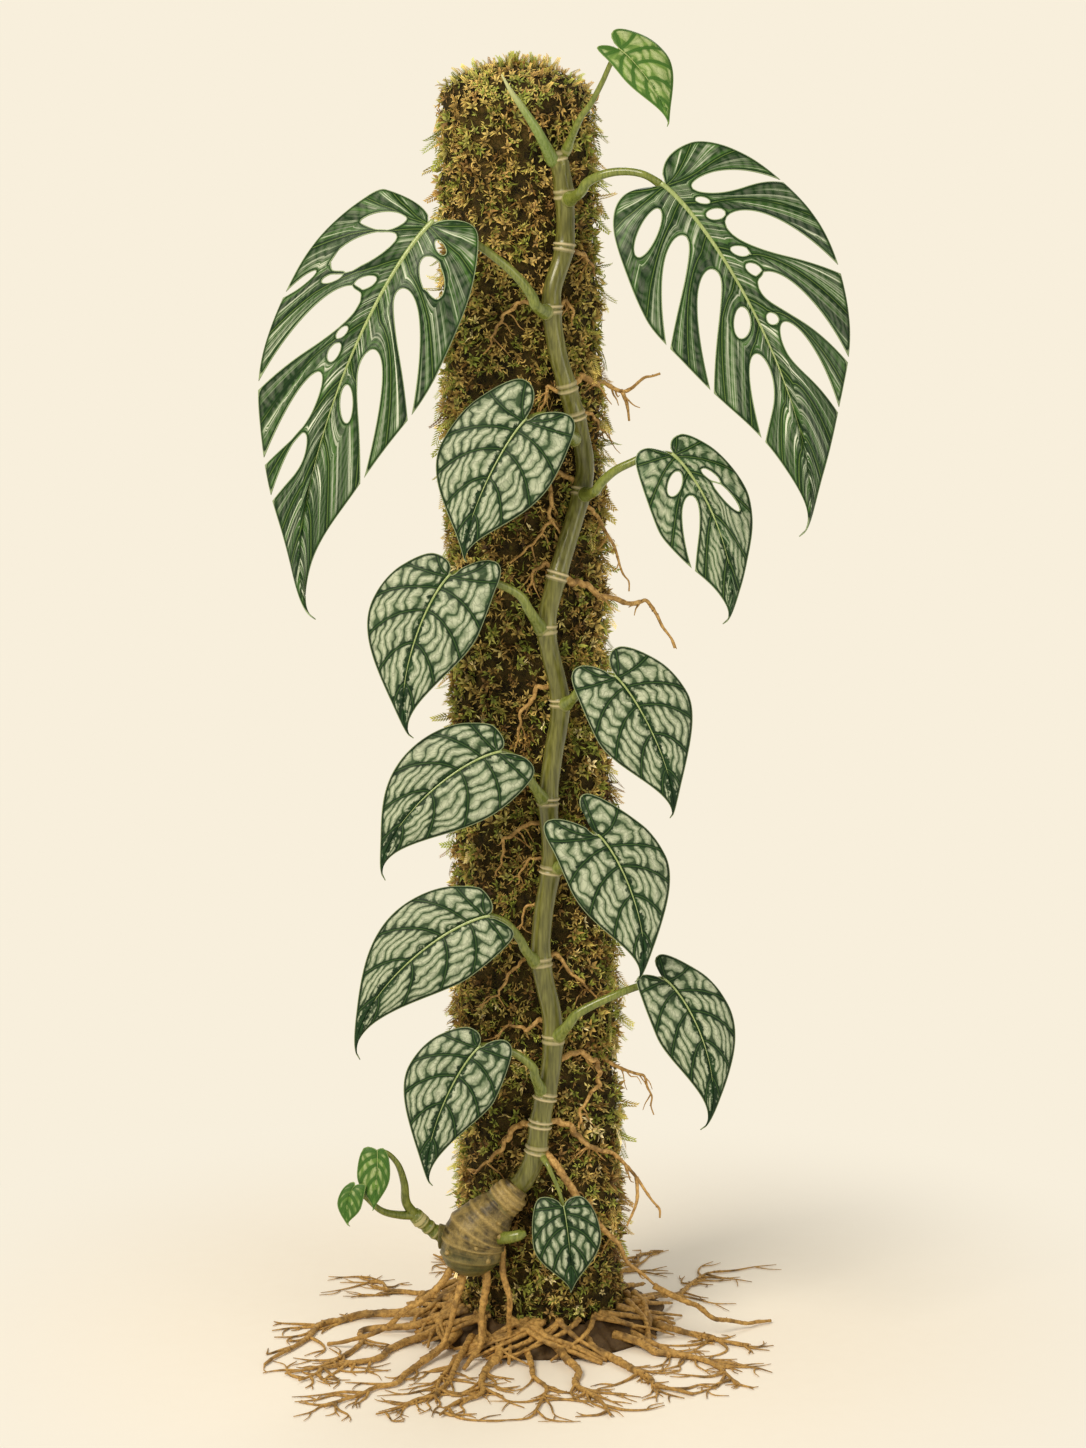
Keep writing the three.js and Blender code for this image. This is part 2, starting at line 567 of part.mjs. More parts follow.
// The rolled spear of the next leaf, at the stem's top.
function growingSpear() {
  const points = [onPost(4, 700, stemOff), point([-3, -58, 714]), point([-11, -62, 726]),
    point([-18, -65, 736]), point([-23, -67, 745])];
  return bentTube(points, (t) => 3.4 * (1 - t) ** 0.7 + 0.35, evenStops(7), 6);
}

// A side shoot of the rhizome: a short joint, and the stalks of its two young leaves.
function sideShoot(leaves) {
  const joint = [[-58, -53, 69], [-66, -55, 75], [-76, -60, 86]].map(point);
  const ring = [[-72, -58, 81], [-76, -60, 86]].map(point);
  const first = [point([-75, -60, 85]), point([-80, -65, 94]), point([-81, -71, 108]),
    point([-85, -77, 122]), point([-92, -82, 130]), behindSinus(leaves[0], 1.2, 3)];
  const second = [point([-75, -60, 85]), point([-84, -66, 87]), point([-94, -74, 92]),
    point([-104, -81, 103]), behindSinus(leaves[1], 1.1, 3)];
  return joined([
    bentTube(joint, () => 4.3, evenStops(4), 7),
    bentTube(ring, (t) => 4.9 - 0.8 * t, evenStops(2), 7),
    bentTube(first, (t) => 3.1 - 1.9 * t, evenStops(7), 5),
    bentTube(second, (t) => 2.9 - 1.8 * t, evenStops(6), 5),
  ]);
}

function basalShoot() {
  const points = [[-26, -66, 73], [-19, -71, 75], [-10, -73, 78]].map(point);
  return bentTube(points, (t) => 4 - 0.9 * t, evenStops(4), 8);
}

// ---- aerial roots: [x, z] places lie on the moss, [x, y, z] places are clear of it ----
const AERIAL_ROOTS = [
  { thick: 1.9, main: [[13, 648], [19, 647], [27, 639], [30, 631]] },
  { thick: 1.5, main: [[3, 615], [-6, 617], [-14, 617], [-24, 607], [-34, 588]] },
  { thick: 1.6, main: [[7, 614], [14, 618], [17, 611], [17, 604]] },
  { thick: 2.3,
    main: [[15, 569], [23, 575], [34, 568], [47, -12, 564], [58, -4, 572], [68, -2, 574]],
    branch: [[46, -14, 564], [49, -8, 556], [50, -6, 547]] },
  { thick: 1.6, main: [[13, 567], [4, 570], [-2, 557]] },
  { thick: 1.3, main: [[20, 554], [27, 553], [34, 542], [38, 534]] },
  { thick: 1.8, main: [[20, 513], [10, 520], [4, 514], [3, 493], [-6, 481], [-19, 469]],
    branch: [[3, 496], [8, 489], [12, 482]] },
  { thick: 1.5, main: [[22, 505], [31, 493], [42, -26, 476], [48, -20, 459], [50, -19, 449]] },
  { thick: 1.6, main: [[8, 463], [0, 469], [-7, 462], [-10, 453]] },
  { thick: 2.4,
    main: [[9, 459], [22, 457], [33, 446], [49, -15, 442], [62, -8, 442], [71, -8, 426],
      [77, -9, 414]] },
  { thick: 1.7, main: [[7, 398], [-2, 397], [-8, 389], [-12, 379], [-16, 362]] },
  { thick: 1.7, main: [[4, 318], [-7, 317], [-22, 308], [-23, 297], [-27, 285]] },
  { thick: 1.3, main: [[4, 296], [-7, 298], [-12, 291], [-16, 281]] },
  { thick: 1.4, main: [[1, 272], [-9, 268], [-14, 254]] },
  { thick: 1.7, main: [[-1, 239], [9, 239], [17, 227], [28, 216], [31, 209]] },
  { thick: 1.4, main: [[-1, 238], [-12, 236], [-20, 228], [-23, 220], [-36, 204]] },
  { thick: 1.8, main: [[5, 201], [-3, 199], [-10, 194], [-19, 196], [-28, 189]] },
  { thick: 2.3,
    main: [[4, 175], [13, 178], [24, 177], [32, 170], [34, 157], [27, 150], [23, 144], [21, 133]] },
  { thick: 1.4,
    main: [[33, -22, 172], [48, -24, 163], [61, -20, 158], [63, -20, 145], [66, -22, 135]] },
  { thick: 2.2, main: [[-3, 138], [-12, 137], [-19, 132], [-24, 121], [-36, 108], [-44, 103]] },
  { thick: 2.2,
    main: [[-2, 138], [8, 139], [15, 135], [26, 122], [41, 113], [56, -16, 94], [67, -16, 81],
      [70, -18, 70]],
    branch: [[56, -16, 95], [56, -22, 82], [50, -28, 68]] },
];

function aerialRoot({ thick, main, branch }) {
  const off = MOSS_BUMP + SEAT + thick + 0.3;
  const route = routeOnPost(main, off);
  const taper = (t) => thick * (1 - 0.62 * t);
  const root = bentTube(route, taper, evenStops(Math.ceil(1.6 * main.length)), 5);
  if (!branch) return root;
  const twig = bentTube(routeOnPost(branch, off), (t) => thick * (0.55 - 0.28 * t), evenStops(3), 4);
  return root.add(twig);
}

// The thick root from the stem's foot that runs down over the moss and out to the right.
const FOOT_ROOT = {
  thick: 2.9,
  main: [[-3, 124], [8, -60, 117], [20, -58, 96], [38, -48, 70], [52, -40, 50], [66, -34, 34]],
};

// ---- ground roots: a low collar round the post's foot, with roots running out of it ----
const COLLAR_INNER = POST_FOOT_R + MOSS_BUMP + 1.1;
const COLLAR_OUTER = 72;
const COLLAR_HEIGHT = 15;
const FORK_TURN = 0.8;         // radians between a root's tip and its fork
const UP = new THREE.Vector3(0, 0, 1);
const GROUND_ROOTS = [
  { thick: 3.2, route: [[-60, -6], [-104, 2], [-122, -4], [-134, -17], [-147, -56], [-163, -82]] },
  { thick: 2.6, route: [[-58, -20], [-103, -24], [-118, -70], [-134, -89], [-150, -98]] },
  { thick: 3, route: [[-56, -28], [-80, -44], [-100, -75], [-125, -92], [-141, -110]] },
  { thick: 2.8, route: [[-50, -42], [-72, -89], [-88, -114], [-104, -132], [-124, -153]] },
  { thick: 2.4, route: [[-42, -50], [-56, -110], [-62, -132], [-76, -147], [-94, -164]] },
  { thick: 2.4, route: [[-38, -52], [-52, -72], [-60, -107], [-61, -145]] },
  { thick: 3, route: [[-26, -58], [-31, -95], [-37, -132], [-58, -167]] },
  { thick: 2.2, route: [[-14, -60], [-7, -89], [2, -119], [-5, -165]] },
  { thick: 2.8, route: [[8, -62], [17, -95], [23, -132], [38, -167]] },
  { thick: 3.2, route: [[26, -56], [37, -74], [54, -92], [66, -119], [86, -133]] },
  { thick: 2.8, route: [[42, -46], [67, -63], [89, -70], [103, -89], [112, -117]] },
  { thick: 2.2, route: [[50, -38], [76, -56], [90, -72], [103, -76]] },
  { thick: 2.8, route: [[58, -16], [90, -30], [103, -42], [122, -50]] },
  { thick: 2.2, route: [[58, 20], [84, 40], [96, 72], [112, 90]] },
  { thick: 2.2, route: [[-56, 26], [-80, 44], [-96, 50], [-110, 78]] },
  { thick: 2.4, route: [[-34, 52], [-48, 82], [-52, 104], [-70, 122]] },
  { thick: 2.2, route: [[4, 62], [8, 92], [-4, 112], [2, 134]] },
  { thick: 2.4, route: [[38, 50], [46, 80], [58, 98], [60, 122]] },
];
const DESCENDING_ROOTS = [
  { thick: 2.8,
    route: [[-52, -57, 56], [-70, -62, 36], [-92, -64, 18], [-112, -52, 6], [-128, -48, 1.5]] },
  { thick: 3, route: [[-46, -58, 58], [-50, -62, 34], [-58, -66, 10], [-72, -76, 2]] },
  { thick: 3.2, route: [[-34, -60, 60], [-34, -66, 32], [-38, -72, 8], [-46, -92, 2]] },
  { thick: 2.6, route: [[-24, -60, 66], [-20, -66, 36], [-18, -68, 10], [-20, -84, 2]] },
  { thick: 2.4, route: [[66, -34, 33], [84, -36, 24], [104, -30, 12], [122, -14, 3], [138, -6, 1.5]] },
];

function groundRoots() {
  const profile = [
    [COLLAR_INNER, 0], [COLLAR_OUTER, 0], [COLLAR_OUTER - 3, 5], [COLLAR_OUTER - 11, 10],
    [COLLAR_INNER + 5, COLLAR_HEIGHT], [COLLAR_INNER, COLLAR_HEIGHT - 3], [COLLAR_INNER, 0],
  ].map(([x, y]) => new THREE.Vector2(x, y));
  const collar = new THREE.LatheGeometry(profile, 24).rotateX(Math.PI / 2);
  const spots = collar.attributes.position;
  for (let i = 0; i < spots.count; i += 1) {
    const [x, y, z] = [spots.getX(i), spots.getY(i), spots.getZ(i)];
    const outside = Math.hypot(x, y) > COLLAR_INNER + 1;
    const ridge = outside ? 1 + 0.07 * Math.sin(9 * Math.atan2(y, x)) : 1;
    spots.setXYZ(i, x * ridge, y * ridge, z);
  }
  const parts = [solidOf(collar)];
  GROUND_ROOTS.forEach(({ thick, route }, i) => {
    const points = route.map(([x, y], k) => {
      const lift = k === 0 ? 7 : thick * (0.9 - 0.1 * k);
      return new THREE.Vector3(x, y, Math.max(lift, 1));
    });
    const taper = (t) => thick * (1.15 - 0.8 * t);
    parts.push(bentTube(points, taper, evenStops(4), 4, 0));
    const turn = i % 2 === 0 ? 1 : -1;
    const [from, end] = points.slice(-2);
    const out = end.clone().sub(from).applyAxisAngle(UP, turn * FORK_TURN);
    const fork = [0, 0.6, 1.1].map((share) => from.clone().addScaledVector(out, share));
    fork[1].x += 3 * turn;
    parts.push(bentTube(fork, (t) => thick * (0.6 - 0.25 * t), evenStops(2), 3, 0));
  });
  DESCENDING_ROOTS.forEach(({ thick, route }) => {
    parts.push(bentTube(route.map(point), (t) => thick * (1 - 0.45 * t), evenStops(6), 5, 0));
  });
  return joined(parts);
}

// ---- the scene graph ----
const plant = new THREE.Group();

function addPiece(name, solid, color, roughness) {
  const material = new THREE.MeshStandardMaterial({ color, roughness, metalness: 0 });
  const mesh = new THREE.Mesh(geometryOf(solid), material);
  mesh.name = name;
  plant.add(mesh);
}

const COLORS = {
  moss: 0x5a5a28, stem: 0x6f7f3a, rhizome: 0x8a7d45, stalk: 0x72893a, silver: 0x7d987c,
  cut: 0x3a6236, young: 0xa3b866, aerial: 0xb58b4f, ground: 0x97733f,
};

const stem = climbingStem(0);
const stemRoom = climbingStem(SEAT);
const rhizomeRoom = rhizome(SEAT).add(rhizomeCollar());
const rootSpecs = [...AERIAL_ROOTS, FOOT_ROOT];
const rootRoutes = rootSpecs.flatMap(({ thick, main, branch }) => [
  ...routeOnPost(main, thick + MOSS_BUMP), ...routeOnPost(branch ?? [], thick + MOSS_BUMP),
]);

const post = mossyPost(0);
const postRoom = mossyPost(SEAT);
addPiece('moss_post', joined([post, ...mossSprigs(rootRoutes)]), COLORS.moss, 0.95);
addPiece('vine_stem', stem, COLORS.stem, 0.5);
const stump = largestBody(rhizome(0).add(rhizomeCollar()).subtract(stemRoom));
addPiece('rhizome', stump, COLORS.rhizome, 0.7);

const leaves = [...HEART_LEAVES, ...CUT_LEAVES].map(makeLeaf);
leaves.forEach((leaf) => {
  const isYoung = /top|shoot/.test(leaf.name);
  const color = isYoung ? COLORS.young : leaf.slots ? COLORS.cut : COLORS.silver;
  addPiece(leaf.name, blade(leaf, BLADE), color, 0.4);
  if (STALKS[leaf.name]) {
    const room = blade({ ...leaf, slots: undefined }, BLADE + 2 * SEAT);
    const piece = stalk(leaf, STALKS[leaf.name]).subtract(stemRoom).subtract(room);
    addPiece(`${leaf.name}_stalk`, largestBody(piece), COLORS.stalk, 0.45);
  }
});

addPiece('growing_spear', largestBody(growingSpear().subtract(stemRoom)), COLORS.young, 0.45);
const shootLeaves = leaves.filter((leaf) => leaf.name.startsWith('shoot'));
let shoot = sideShoot(shootLeaves).subtract(rhizomeRoom);
shootLeaves.forEach((leaf) => {
  shoot = shoot.subtract(blade(leaf, BLADE + 2 * SEAT));
});
addPiece('side_shoot', largestBody(shoot), COLORS.stalk, 0.45);
addPiece('basal_shoot', largestBody(basalShoot().subtract(rhizomeRoom)), COLORS.stalk, 0.45);

rootSpecs.forEach((spec, i) => {
  const solid = largestBody(aerialRoot(spec).subtract(stemRoom).subtract(postRoom));
  addPiece(`aerial_root_${i + 1}`, solid, COLORS.aerial, 0.7);
});
addPiece('ground_roots', largestBody(groundRoots().subtract(rhizomeRoom)), COLORS.ground, 0.8);

export default plant;
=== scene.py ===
# %% [markdown]
# # A climbing monstera on a moss-covered post
# The plant is a young Monstera siltepecana. Silvery heart-shaped leaves lie against a post wrapped
# in living moss, grown leaves with holes stand out at the top, and roots hold the stem to the moss
# and spread over the ground. We start from the plain solids of the plant, which give the place of
# every piece, and dress each one: its fine shape with bmesh operators, its finish with nodes.

# %% Load the plain solids
import itertools
import json
import math
import random

import bmesh
import bpy
import numpy as np
from mathutils import Matrix, Vector, noise

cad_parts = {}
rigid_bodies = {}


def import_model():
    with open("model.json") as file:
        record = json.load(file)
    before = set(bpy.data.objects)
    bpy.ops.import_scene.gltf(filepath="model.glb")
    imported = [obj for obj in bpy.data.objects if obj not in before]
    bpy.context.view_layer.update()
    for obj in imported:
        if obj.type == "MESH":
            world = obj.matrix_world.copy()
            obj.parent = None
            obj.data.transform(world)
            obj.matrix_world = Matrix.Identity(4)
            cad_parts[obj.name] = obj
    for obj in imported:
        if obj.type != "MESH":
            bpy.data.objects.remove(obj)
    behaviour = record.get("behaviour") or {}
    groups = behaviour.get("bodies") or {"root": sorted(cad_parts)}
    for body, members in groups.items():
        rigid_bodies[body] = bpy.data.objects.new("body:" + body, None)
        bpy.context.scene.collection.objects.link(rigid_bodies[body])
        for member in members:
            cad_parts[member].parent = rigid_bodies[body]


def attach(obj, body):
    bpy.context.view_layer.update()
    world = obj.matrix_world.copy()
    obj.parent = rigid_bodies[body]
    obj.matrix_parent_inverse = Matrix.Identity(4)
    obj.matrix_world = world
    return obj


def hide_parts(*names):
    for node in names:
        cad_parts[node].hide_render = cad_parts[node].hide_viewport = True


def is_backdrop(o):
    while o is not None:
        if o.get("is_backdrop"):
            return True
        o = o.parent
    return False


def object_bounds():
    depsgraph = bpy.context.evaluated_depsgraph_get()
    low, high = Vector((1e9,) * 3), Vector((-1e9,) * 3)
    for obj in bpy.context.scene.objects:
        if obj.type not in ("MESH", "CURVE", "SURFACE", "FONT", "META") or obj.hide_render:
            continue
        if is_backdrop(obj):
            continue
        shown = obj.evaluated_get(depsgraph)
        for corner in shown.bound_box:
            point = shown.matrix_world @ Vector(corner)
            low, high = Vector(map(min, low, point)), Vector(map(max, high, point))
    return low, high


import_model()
solid_box = [list(corner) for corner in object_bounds()]
print("box of the plain solids, metres:", solid_box)

# %% [markdown]
# ## Helpers for finishes
# Colours are easiest to judge as sRGB hex values, but a shader works in linear light, so one
# function converts them. One more adds a node and wires it, so that each finish below reads as a
# short list of nodes, and a last one lays colours over each other, as a painter glazes.

# %% Helpers for finishes
def linear(hex_colour):
    shares = [int(hex_colour[i:i + 2], 16) / 255 for i in (1, 3, 5)]
    return (*[s / 12.92 if s <= 0.04045 else ((s + 0.055) / 1.055) ** 2.4 for s in shares], 1.0)


def add(tree, kind, inputs=None, **settings):
    """Adds a node. inputs maps a socket to a value, a hex colour or another node's output."""
    made = tree.nodes.new("ShaderNode" + kind)
    for setting, value in settings.items():
        setattr(made, setting, value)
    wire(tree, made, inputs or {})
    return made.outputs


def wire(tree, made, inputs):
    for socket, value in inputs.items():
        if isinstance(value, bpy.types.NodeSocket):
            tree.links.new(value, made.inputs[socket])
        else:
            made.inputs[socket].default_value = linear(value) if isinstance(value, str) else value


def new_finish(name):
    finish = bpy.data.materials.new(name)
    finish.use_nodes = True
    return finish, finish.node_tree, finish.node_tree.nodes["Principled BSDF"]


def glaze(tree, tint, layers):
    """Lays each colour over the tint where its value, mapped from start..end, is first..last."""
    for value, start, end, first, last, colour in layers:
        share = add(tree, "MapRange", {"Value": value, 1: start, 2: end, 3: first, 4: last})[0]
        tint = add(tree, "Mix", {0: share, 6: tint, 7: colour}, data_type="RGBA")[2]
    return tint


print("linear value of a mid leaf green:", [round(c, 3) for c in linear("#4F7D3F")])

# %% [markdown]
# ## Helpers for shapes
# The sizes are millimetres, as a botanist would measure them, and each finished mesh is scaled to
# metres once. Stems, stalks and roots are all the same shape, a cylinder bent along a smooth line,
# so one function bends a cylinder whose sides were cut into short lengths. Each vertex keeps how
# far along it lies, and a mark such as a pale ring, for the finish to read.

# %% Helpers for shapes
MM = 0.001
SAMPLES, SPAN_STEPS = 400, 40


def link(thing):
    bpy.context.scene.collection.objects.link(thing)
    return thing


def pieces_mesh(bm, name, finishes):
    mesh = bpy.data.meshes.new(name)
    bm.to_mesh(mesh)
    bm.free()
    mesh.transform(Matrix.Scale(MM, 4))
    mesh.shade_smooth()
    for finish in finishes:
        mesh.materials.append(finish)
    return mesh


def settle(name, mesh, node):
    """Makes a piece of the mesh, which rides on the plant in place of the node's plain solid."""
    piece = link(bpy.data.objects.new(name, mesh))
    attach(piece, "root")
    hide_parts(node)
    print(f"{name}: {sum(len(f.vertices) - 2 for f in mesh.polygons)} triangles")
    return piece


def place_piece(name, bm, finishes, node):
    return settle(name, pieces_mesh(bm, name, finishes), node)


def cut_cylinder(bm, sides, rings, radii=(1, 1)):
    """Adds a capped cylinder one unit tall, cut across into rings."""
    made = bmesh.ops.create_cone(
        bm, cap_ends=True, segments=sides, radius1=radii[0], radius2=radii[1], depth=1)
    uprights = dict.fromkeys(e for v in made["verts"] for e in v.link_edges
                             if abs(e.verts[0].co.z - e.verts[1].co.z) > 0.5)
    bmesh.ops.subdivide_edges(bm, edges=list(uprights), cuts=rings - 1)


def smooth_line(points):
    """A centripetal Catmull-Rom line through the points, and a frame that is carried along it."""
    spots = [np.array(p, float) for p in points]
    spots = [2 * spots[0] - spots[1], *spots, 2 * spots[-1] - spots[-2]]
    line = []
    for a, b, c, d in zip(spots, spots[1:], spots[2:], spots[3:]):
        gaps = [max(np.linalg.norm(q - p), 1e-6) ** 0.5 for p, q in ((a, b), (b, c), (c, d))]
        leave = (b - a) / gaps[0] - (c - a) / (gaps[0] + gaps[1]) + (c - b) / gaps[1]
        reach = (c - b) / gaps[1] - (d - b) / (gaps[1] + gaps[2]) + (d - c) / gaps[2]
        t = np.linspace(0, 1, SPAN_STEPS, endpoint=False)[:, None]
        m0, m1 = leave * gaps[1], reach * gaps[1]
        line.append((2 * t**3 - 3 * t**2 + 1) * b + (t**3 - 2 * t**2 + t) * m0
                    + (3 * t**2 - 2 * t**3) * c + (t**3 - t**2) * m1)
    line = np.vstack([*line, spots[-2][None]])
    run = np.concatenate([[0], np.cumsum(np.linalg.norm(np.diff(line, axis=0), axis=1))])
    even = np.linspace(0, run[-1], SAMPLES)
    path = np.stack([np.interp(even, run, line[:, k]) for k in range(3)], axis=1)
    tangents = np.gradient(path, axis=0)
    tangents /= np.linalg.norm(tangents, axis=1)[:, None]
    out = np.zeros_like(path)
    guess = np.array([0.0, -1.0, 0.0]) if abs(tangents[0, 1]) < 0.9 else np.array([0.0, 0.0, 1.0])
    for i, tangent in enumerate(tangents):
        guess = guess - tangent * guess.dot(tangent)
        guess /= np.linalg.norm(guess)
        out[i] = guess
    return path, out, np.cross(tangents, out), run[-1]


def new_body():
    bm = bmesh.new()
    for layer in ("along", "mark"):
        bm.verts.layers.float.new(layer)
    return bm


def fresh_verts(bm):
    """The vertices that were made since the last call. They stand at the end of the list."""
    bm.verts.ensure_lookup_table()
    fresh = list(itertools.takewhile(lambda v: not v.tag, reversed(bm.verts)))
    for v in fresh:
        v.tag = True
    return fresh


def bent_tube(bm, points, radius_at, sides, step, mark_at=None, floor=None):
    """Bends a capped cylinder along the points. step is the spacing of its rings."""
    path, out, across, run = smooth_line(points)
    rings = max(int(run / step), 2)
    stops = np.linspace(0, SAMPLES - 1, rings + 1)
    spine, front, side = (
        np.stack([np.interp(stops, range(SAMPLES), table[:, k]) for k in range(3)], axis=1)
        for table in (path, out, across))
    cut_cylinder(bm, sides, rings)
    along, mark = bm.verts.layers.float["along"], bm.verts.layers.float["mark"]
    for v in fresh_verts(bm):
        t = min(max(v.co.z + 0.5, 0), 1)
        angle = math.atan2(v.co.y, v.co.x)
        i = round(t * rings)
        outward = front[i] * math.cos(angle) + side[i] * math.sin(angle)
        v.co = spine[i] + outward * radius_at(t, angle, run)
        if floor is not None:
            v.co.z = max(v.co.z, floor)
        v[along] = t
        v[mark] = mark_at(t, run) if mark_at else 0.0
    return path


def knob(bm, spot, radius, marked):
    bmesh.ops.create_icosphere(
        bm, subdivisions=1, radius=radius, matrix=Matrix.Translation(Vector(spot)))
    mark = bm.verts.layers.float["mark"]
    for v in fresh_verts(bm):
        v[mark] = marked


def grain(spot, size, seed=0.0):
    """Smooth noise, from -1 to 1, whose lumps are about size millimetres across."""
    return noise.noise(Vector(spot) / size + Vector((seed, seed * 0.7, -seed)))


arc = smooth_line([(0, 0, 0), (10, 0, 5), (20, 0, 0)])
print("a line through three points is", round(arc[3], 1), "mm long")

# %% [markdown]
# ## Camera, light and floor
# The plant is seen from a little above, a bit more than two metres away, through a long lens. Soft
# light suits leaves: a large panel from the upper left gives them a gentle sheen, a weaker one
# fills the right side, and a cream surround lights the rest. The floor fades into the surround.

# %% Camera, light and floor
CREAM = "#F8EFDC"
PANEL_SIZE, FLOOR_R = 1.2, 30000
TARGET = Vector((0, 0, 0.3673))


def aim(spot):
    """The turn that points a camera or a lamp at the middle of the plant."""
    return (TARGET - Vector(spot)).to_track_quat("-Z", "Y").to_euler()


camera_data = bpy.data.cameras.new("camera")
camera_data.sensor_width = 36
camera_data.lens = 92.7
camera = link(bpy.data.objects.new("camera", camera_data))
camera.location = (0, -2.16658, 0.74933)
camera.rotation_euler = aim(camera.location)
bpy.context.scene.camera = camera
bpy.context.scene.view_settings.view_transform = "Standard"

world = bpy.data.worlds.new("cream surround")
bpy.context.scene.world = world
world.use_nodes = True
air = world.node_tree
seen = add(air, "Background", {"Color": CREAM, "Strength": 1.0})[0]
lit = add(air, "Background", {"Color": "#FFF6E6", "Strength": 0.42})[0]
ray = add(air, "LightPath")["Is Camera Ray"]
mixed = add(air, "MixShader", {0: ray, 1: lit, 2: seen})[0]
wire(air, air.nodes["World Output"], {"Surface": mixed})


def panel(name, spot, watts, colour):
    data = bpy.data.lights.new(name, "AREA")
    data.size = PANEL_SIZE
    data.energy = watts
    data.color = linear(colour)[:3]
    lamp = link(bpy.data.objects.new(name, data))
    lamp.location = spot
    lamp.rotation_euler = aim(spot)


panel("key panel", (-1.2, -1.6, 2.0), 51, "#FFF4E2")
panel("fill panel", (1.7, -1.6, 0.9), 10, "#FFFAF0")
panel("back panel", (0.5, 1.8, 1.8), 14, "#FFFDF8")

# Matt paper, so bright that it melts into the surround, where the far part glows as the air does.
paper, tree, shader = new_finish("pale floor paper")
spot = add(tree, "TexCoord")["Object"]
away = add(tree, "VectorMath", {0: spot}, operation="LENGTH")["Value"]
far = add(tree, "MapRange", {"Value": away, 1: 0.12, 2: 0.46},
          interpolation_type="SMOOTHSTEP")[0]
fibre = add(tree, "TexNoise", {"Vector": spot, "Scale": 90.0, "Detail": 3.0})[0]
tint = add(tree, "Mix", {0: fibre, 6: "#F8F1E4", 7: "#FAF4E8"}, data_type="RGBA")[2]
wire(tree, shader, {"Base Color": tint, "Roughness": 0.9, "Specular IOR Level": 0.1})
glow = add(tree, "Emission", {"Color": CREAM, "Strength": 1.0})[0]
both = add(tree, "MixShader", {0: far, 1: shader.outputs[0], 2: glow})[0]
wire(tree, tree.nodes["Material Output"], {"Surface": both})
bm = bmesh.new()
bmesh.ops.create_circle(bm, cap_ends=True, segments=64, radius=FLOOR_R)
floor = link(bpy.data.objects.new("floor", pieces_mesh(bm, "floor", [paper])))
floor.location.z = -0.2 * MM
floor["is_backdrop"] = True
print("camera stands", round(camera.location.length, 2), "m from the post's foot")

# %% [markdown]
# ## The post and its moss cushions
# The post is a tube of packed moss, a little thicker at the foot, that leans a hair to the left. A
# cylinder with many short sides is pushed in and out by smooth noise, so that it has cushions and
# dark hollows for the sprigs to grow from. It is finished in the brown of wet, packed moss,
# darkened to near-black as painted shade for the hollows between the sprigs. It is matt, and a net
# of paler threads crosses it.

# %% The post and its moss cushions
POST_HEIGHT, POST_FOOT_R, POST_TOP_R, POST_LEAN = 750, 46, 41, -0.021
MOSS_BUMP, SEAT, STEM_R = 2.2, 0.3, 5.3
STEM_OFF = MOSS_BUMP + SEAT + STEM_R + 0.4
POST_DOME, POST_SIDES, POST_RINGS = 20, 64, 150


def post_radius(z):
    return POST_FOOT_R + (POST_TOP_R - POST_FOOT_R) * z / POST_HEIGHT


def swell(angle, z):
    """How far the cushions stand out: close-packed in front, deeper round the back."""
    bump = math.sin(5 * angle + 0.043 * z) * math.sin(3 * angle - 0.061 * z + 1.3)
    depth = MOSS_BUMP * (1 + 0.7 * min(z / 60, 1) * (1 + math.sin(angle)))
    return depth * (0.5 + 0.5 * bump)


def on_post(x, z, off):
    """An [x, z] place on the post's front, off millimetres out from its core."""
    sideways = x - POST_LEAN * z
    return (x, -math.sqrt(max((post_radius(z) + off) ** 2 - sideways**2, 0)), z)


def on_moss(angle, z, off=0.0):
    """A place on the moss, all round the post and over its domed top."""
    rise = min(max((z - POST_HEIGHT + POST_DOME) / POST_DOME, 0), 1)
    reach = (post_radius(z) + swell(angle, z)) * math.sqrt(1 - rise * rise) + off
    return Vector((reach * math.cos(angle) + POST_LEAN * z, reach * math.sin(angle), z))


packed_moss, tree, shader = new_finish("packed sphagnum with painted shade")
spot = add(tree, "TexCoord")["Object"]
clump = add(tree, "TexNoise", {"Vector": spot, "Scale": 160.0, "Detail": 8.0})[0]
thread = add(tree, "TexVoronoi", {"Vector": spot, "Scale": 420.0},
             feature="DISTANCE_TO_EDGE")[0]
line = add(tree, "MapRange", {"Value": thread, 1: 0.0, 2: 0.12, 3: 0.55, 4: 0.0})[0]
# Painted shade: the near-black base is the brown of wet packed moss taken darker, so that the gaps
# between the tufts read as shadow.
tint = glaze(tree, "#1E170C", ((clump, 0.38, 0.66, 0.0, 1.0, "#54431F"),
                               (line, 0.0, 1.0, 0.0, 1.0, "#6B6128")))
height = add(tree, "Math", {0: clump, 1: line}, operation="ADD")[0]
bump = add(tree, "Bump", {"Height": height, "Strength": 0.9, "Distance": 0.002})[0]
wire(tree, shader, {
    "Base Color": tint, "Roughness": 0.95, "Normal": bump, "Specular IOR Level": 0.2})

bm = bmesh.new()
cut_cylinder(bm, POST_SIDES, POST_RINGS)
shaft = POST_HEIGHT - POST_DOME
for v in bm.verts:
    angle = math.atan2(v.co.y, v.co.x)
    run = (v.co.z + 0.5) * (shaft + 1.5 * POST_DOME)
    z = run if run < shaft else shaft + POST_DOME * math.sin((run - shaft) / POST_DOME)
    lump = 1.6 * grain((30 * math.cos(angle), 30 * math.sin(angle), z), 7) * min(z / 8, 1)
    v.co = on_moss(angle, z, lump - 1.4 if z < POST_HEIGHT - 2 else 0)
place_piece("packed_moss", bm, [packed_moss], "moss_post")
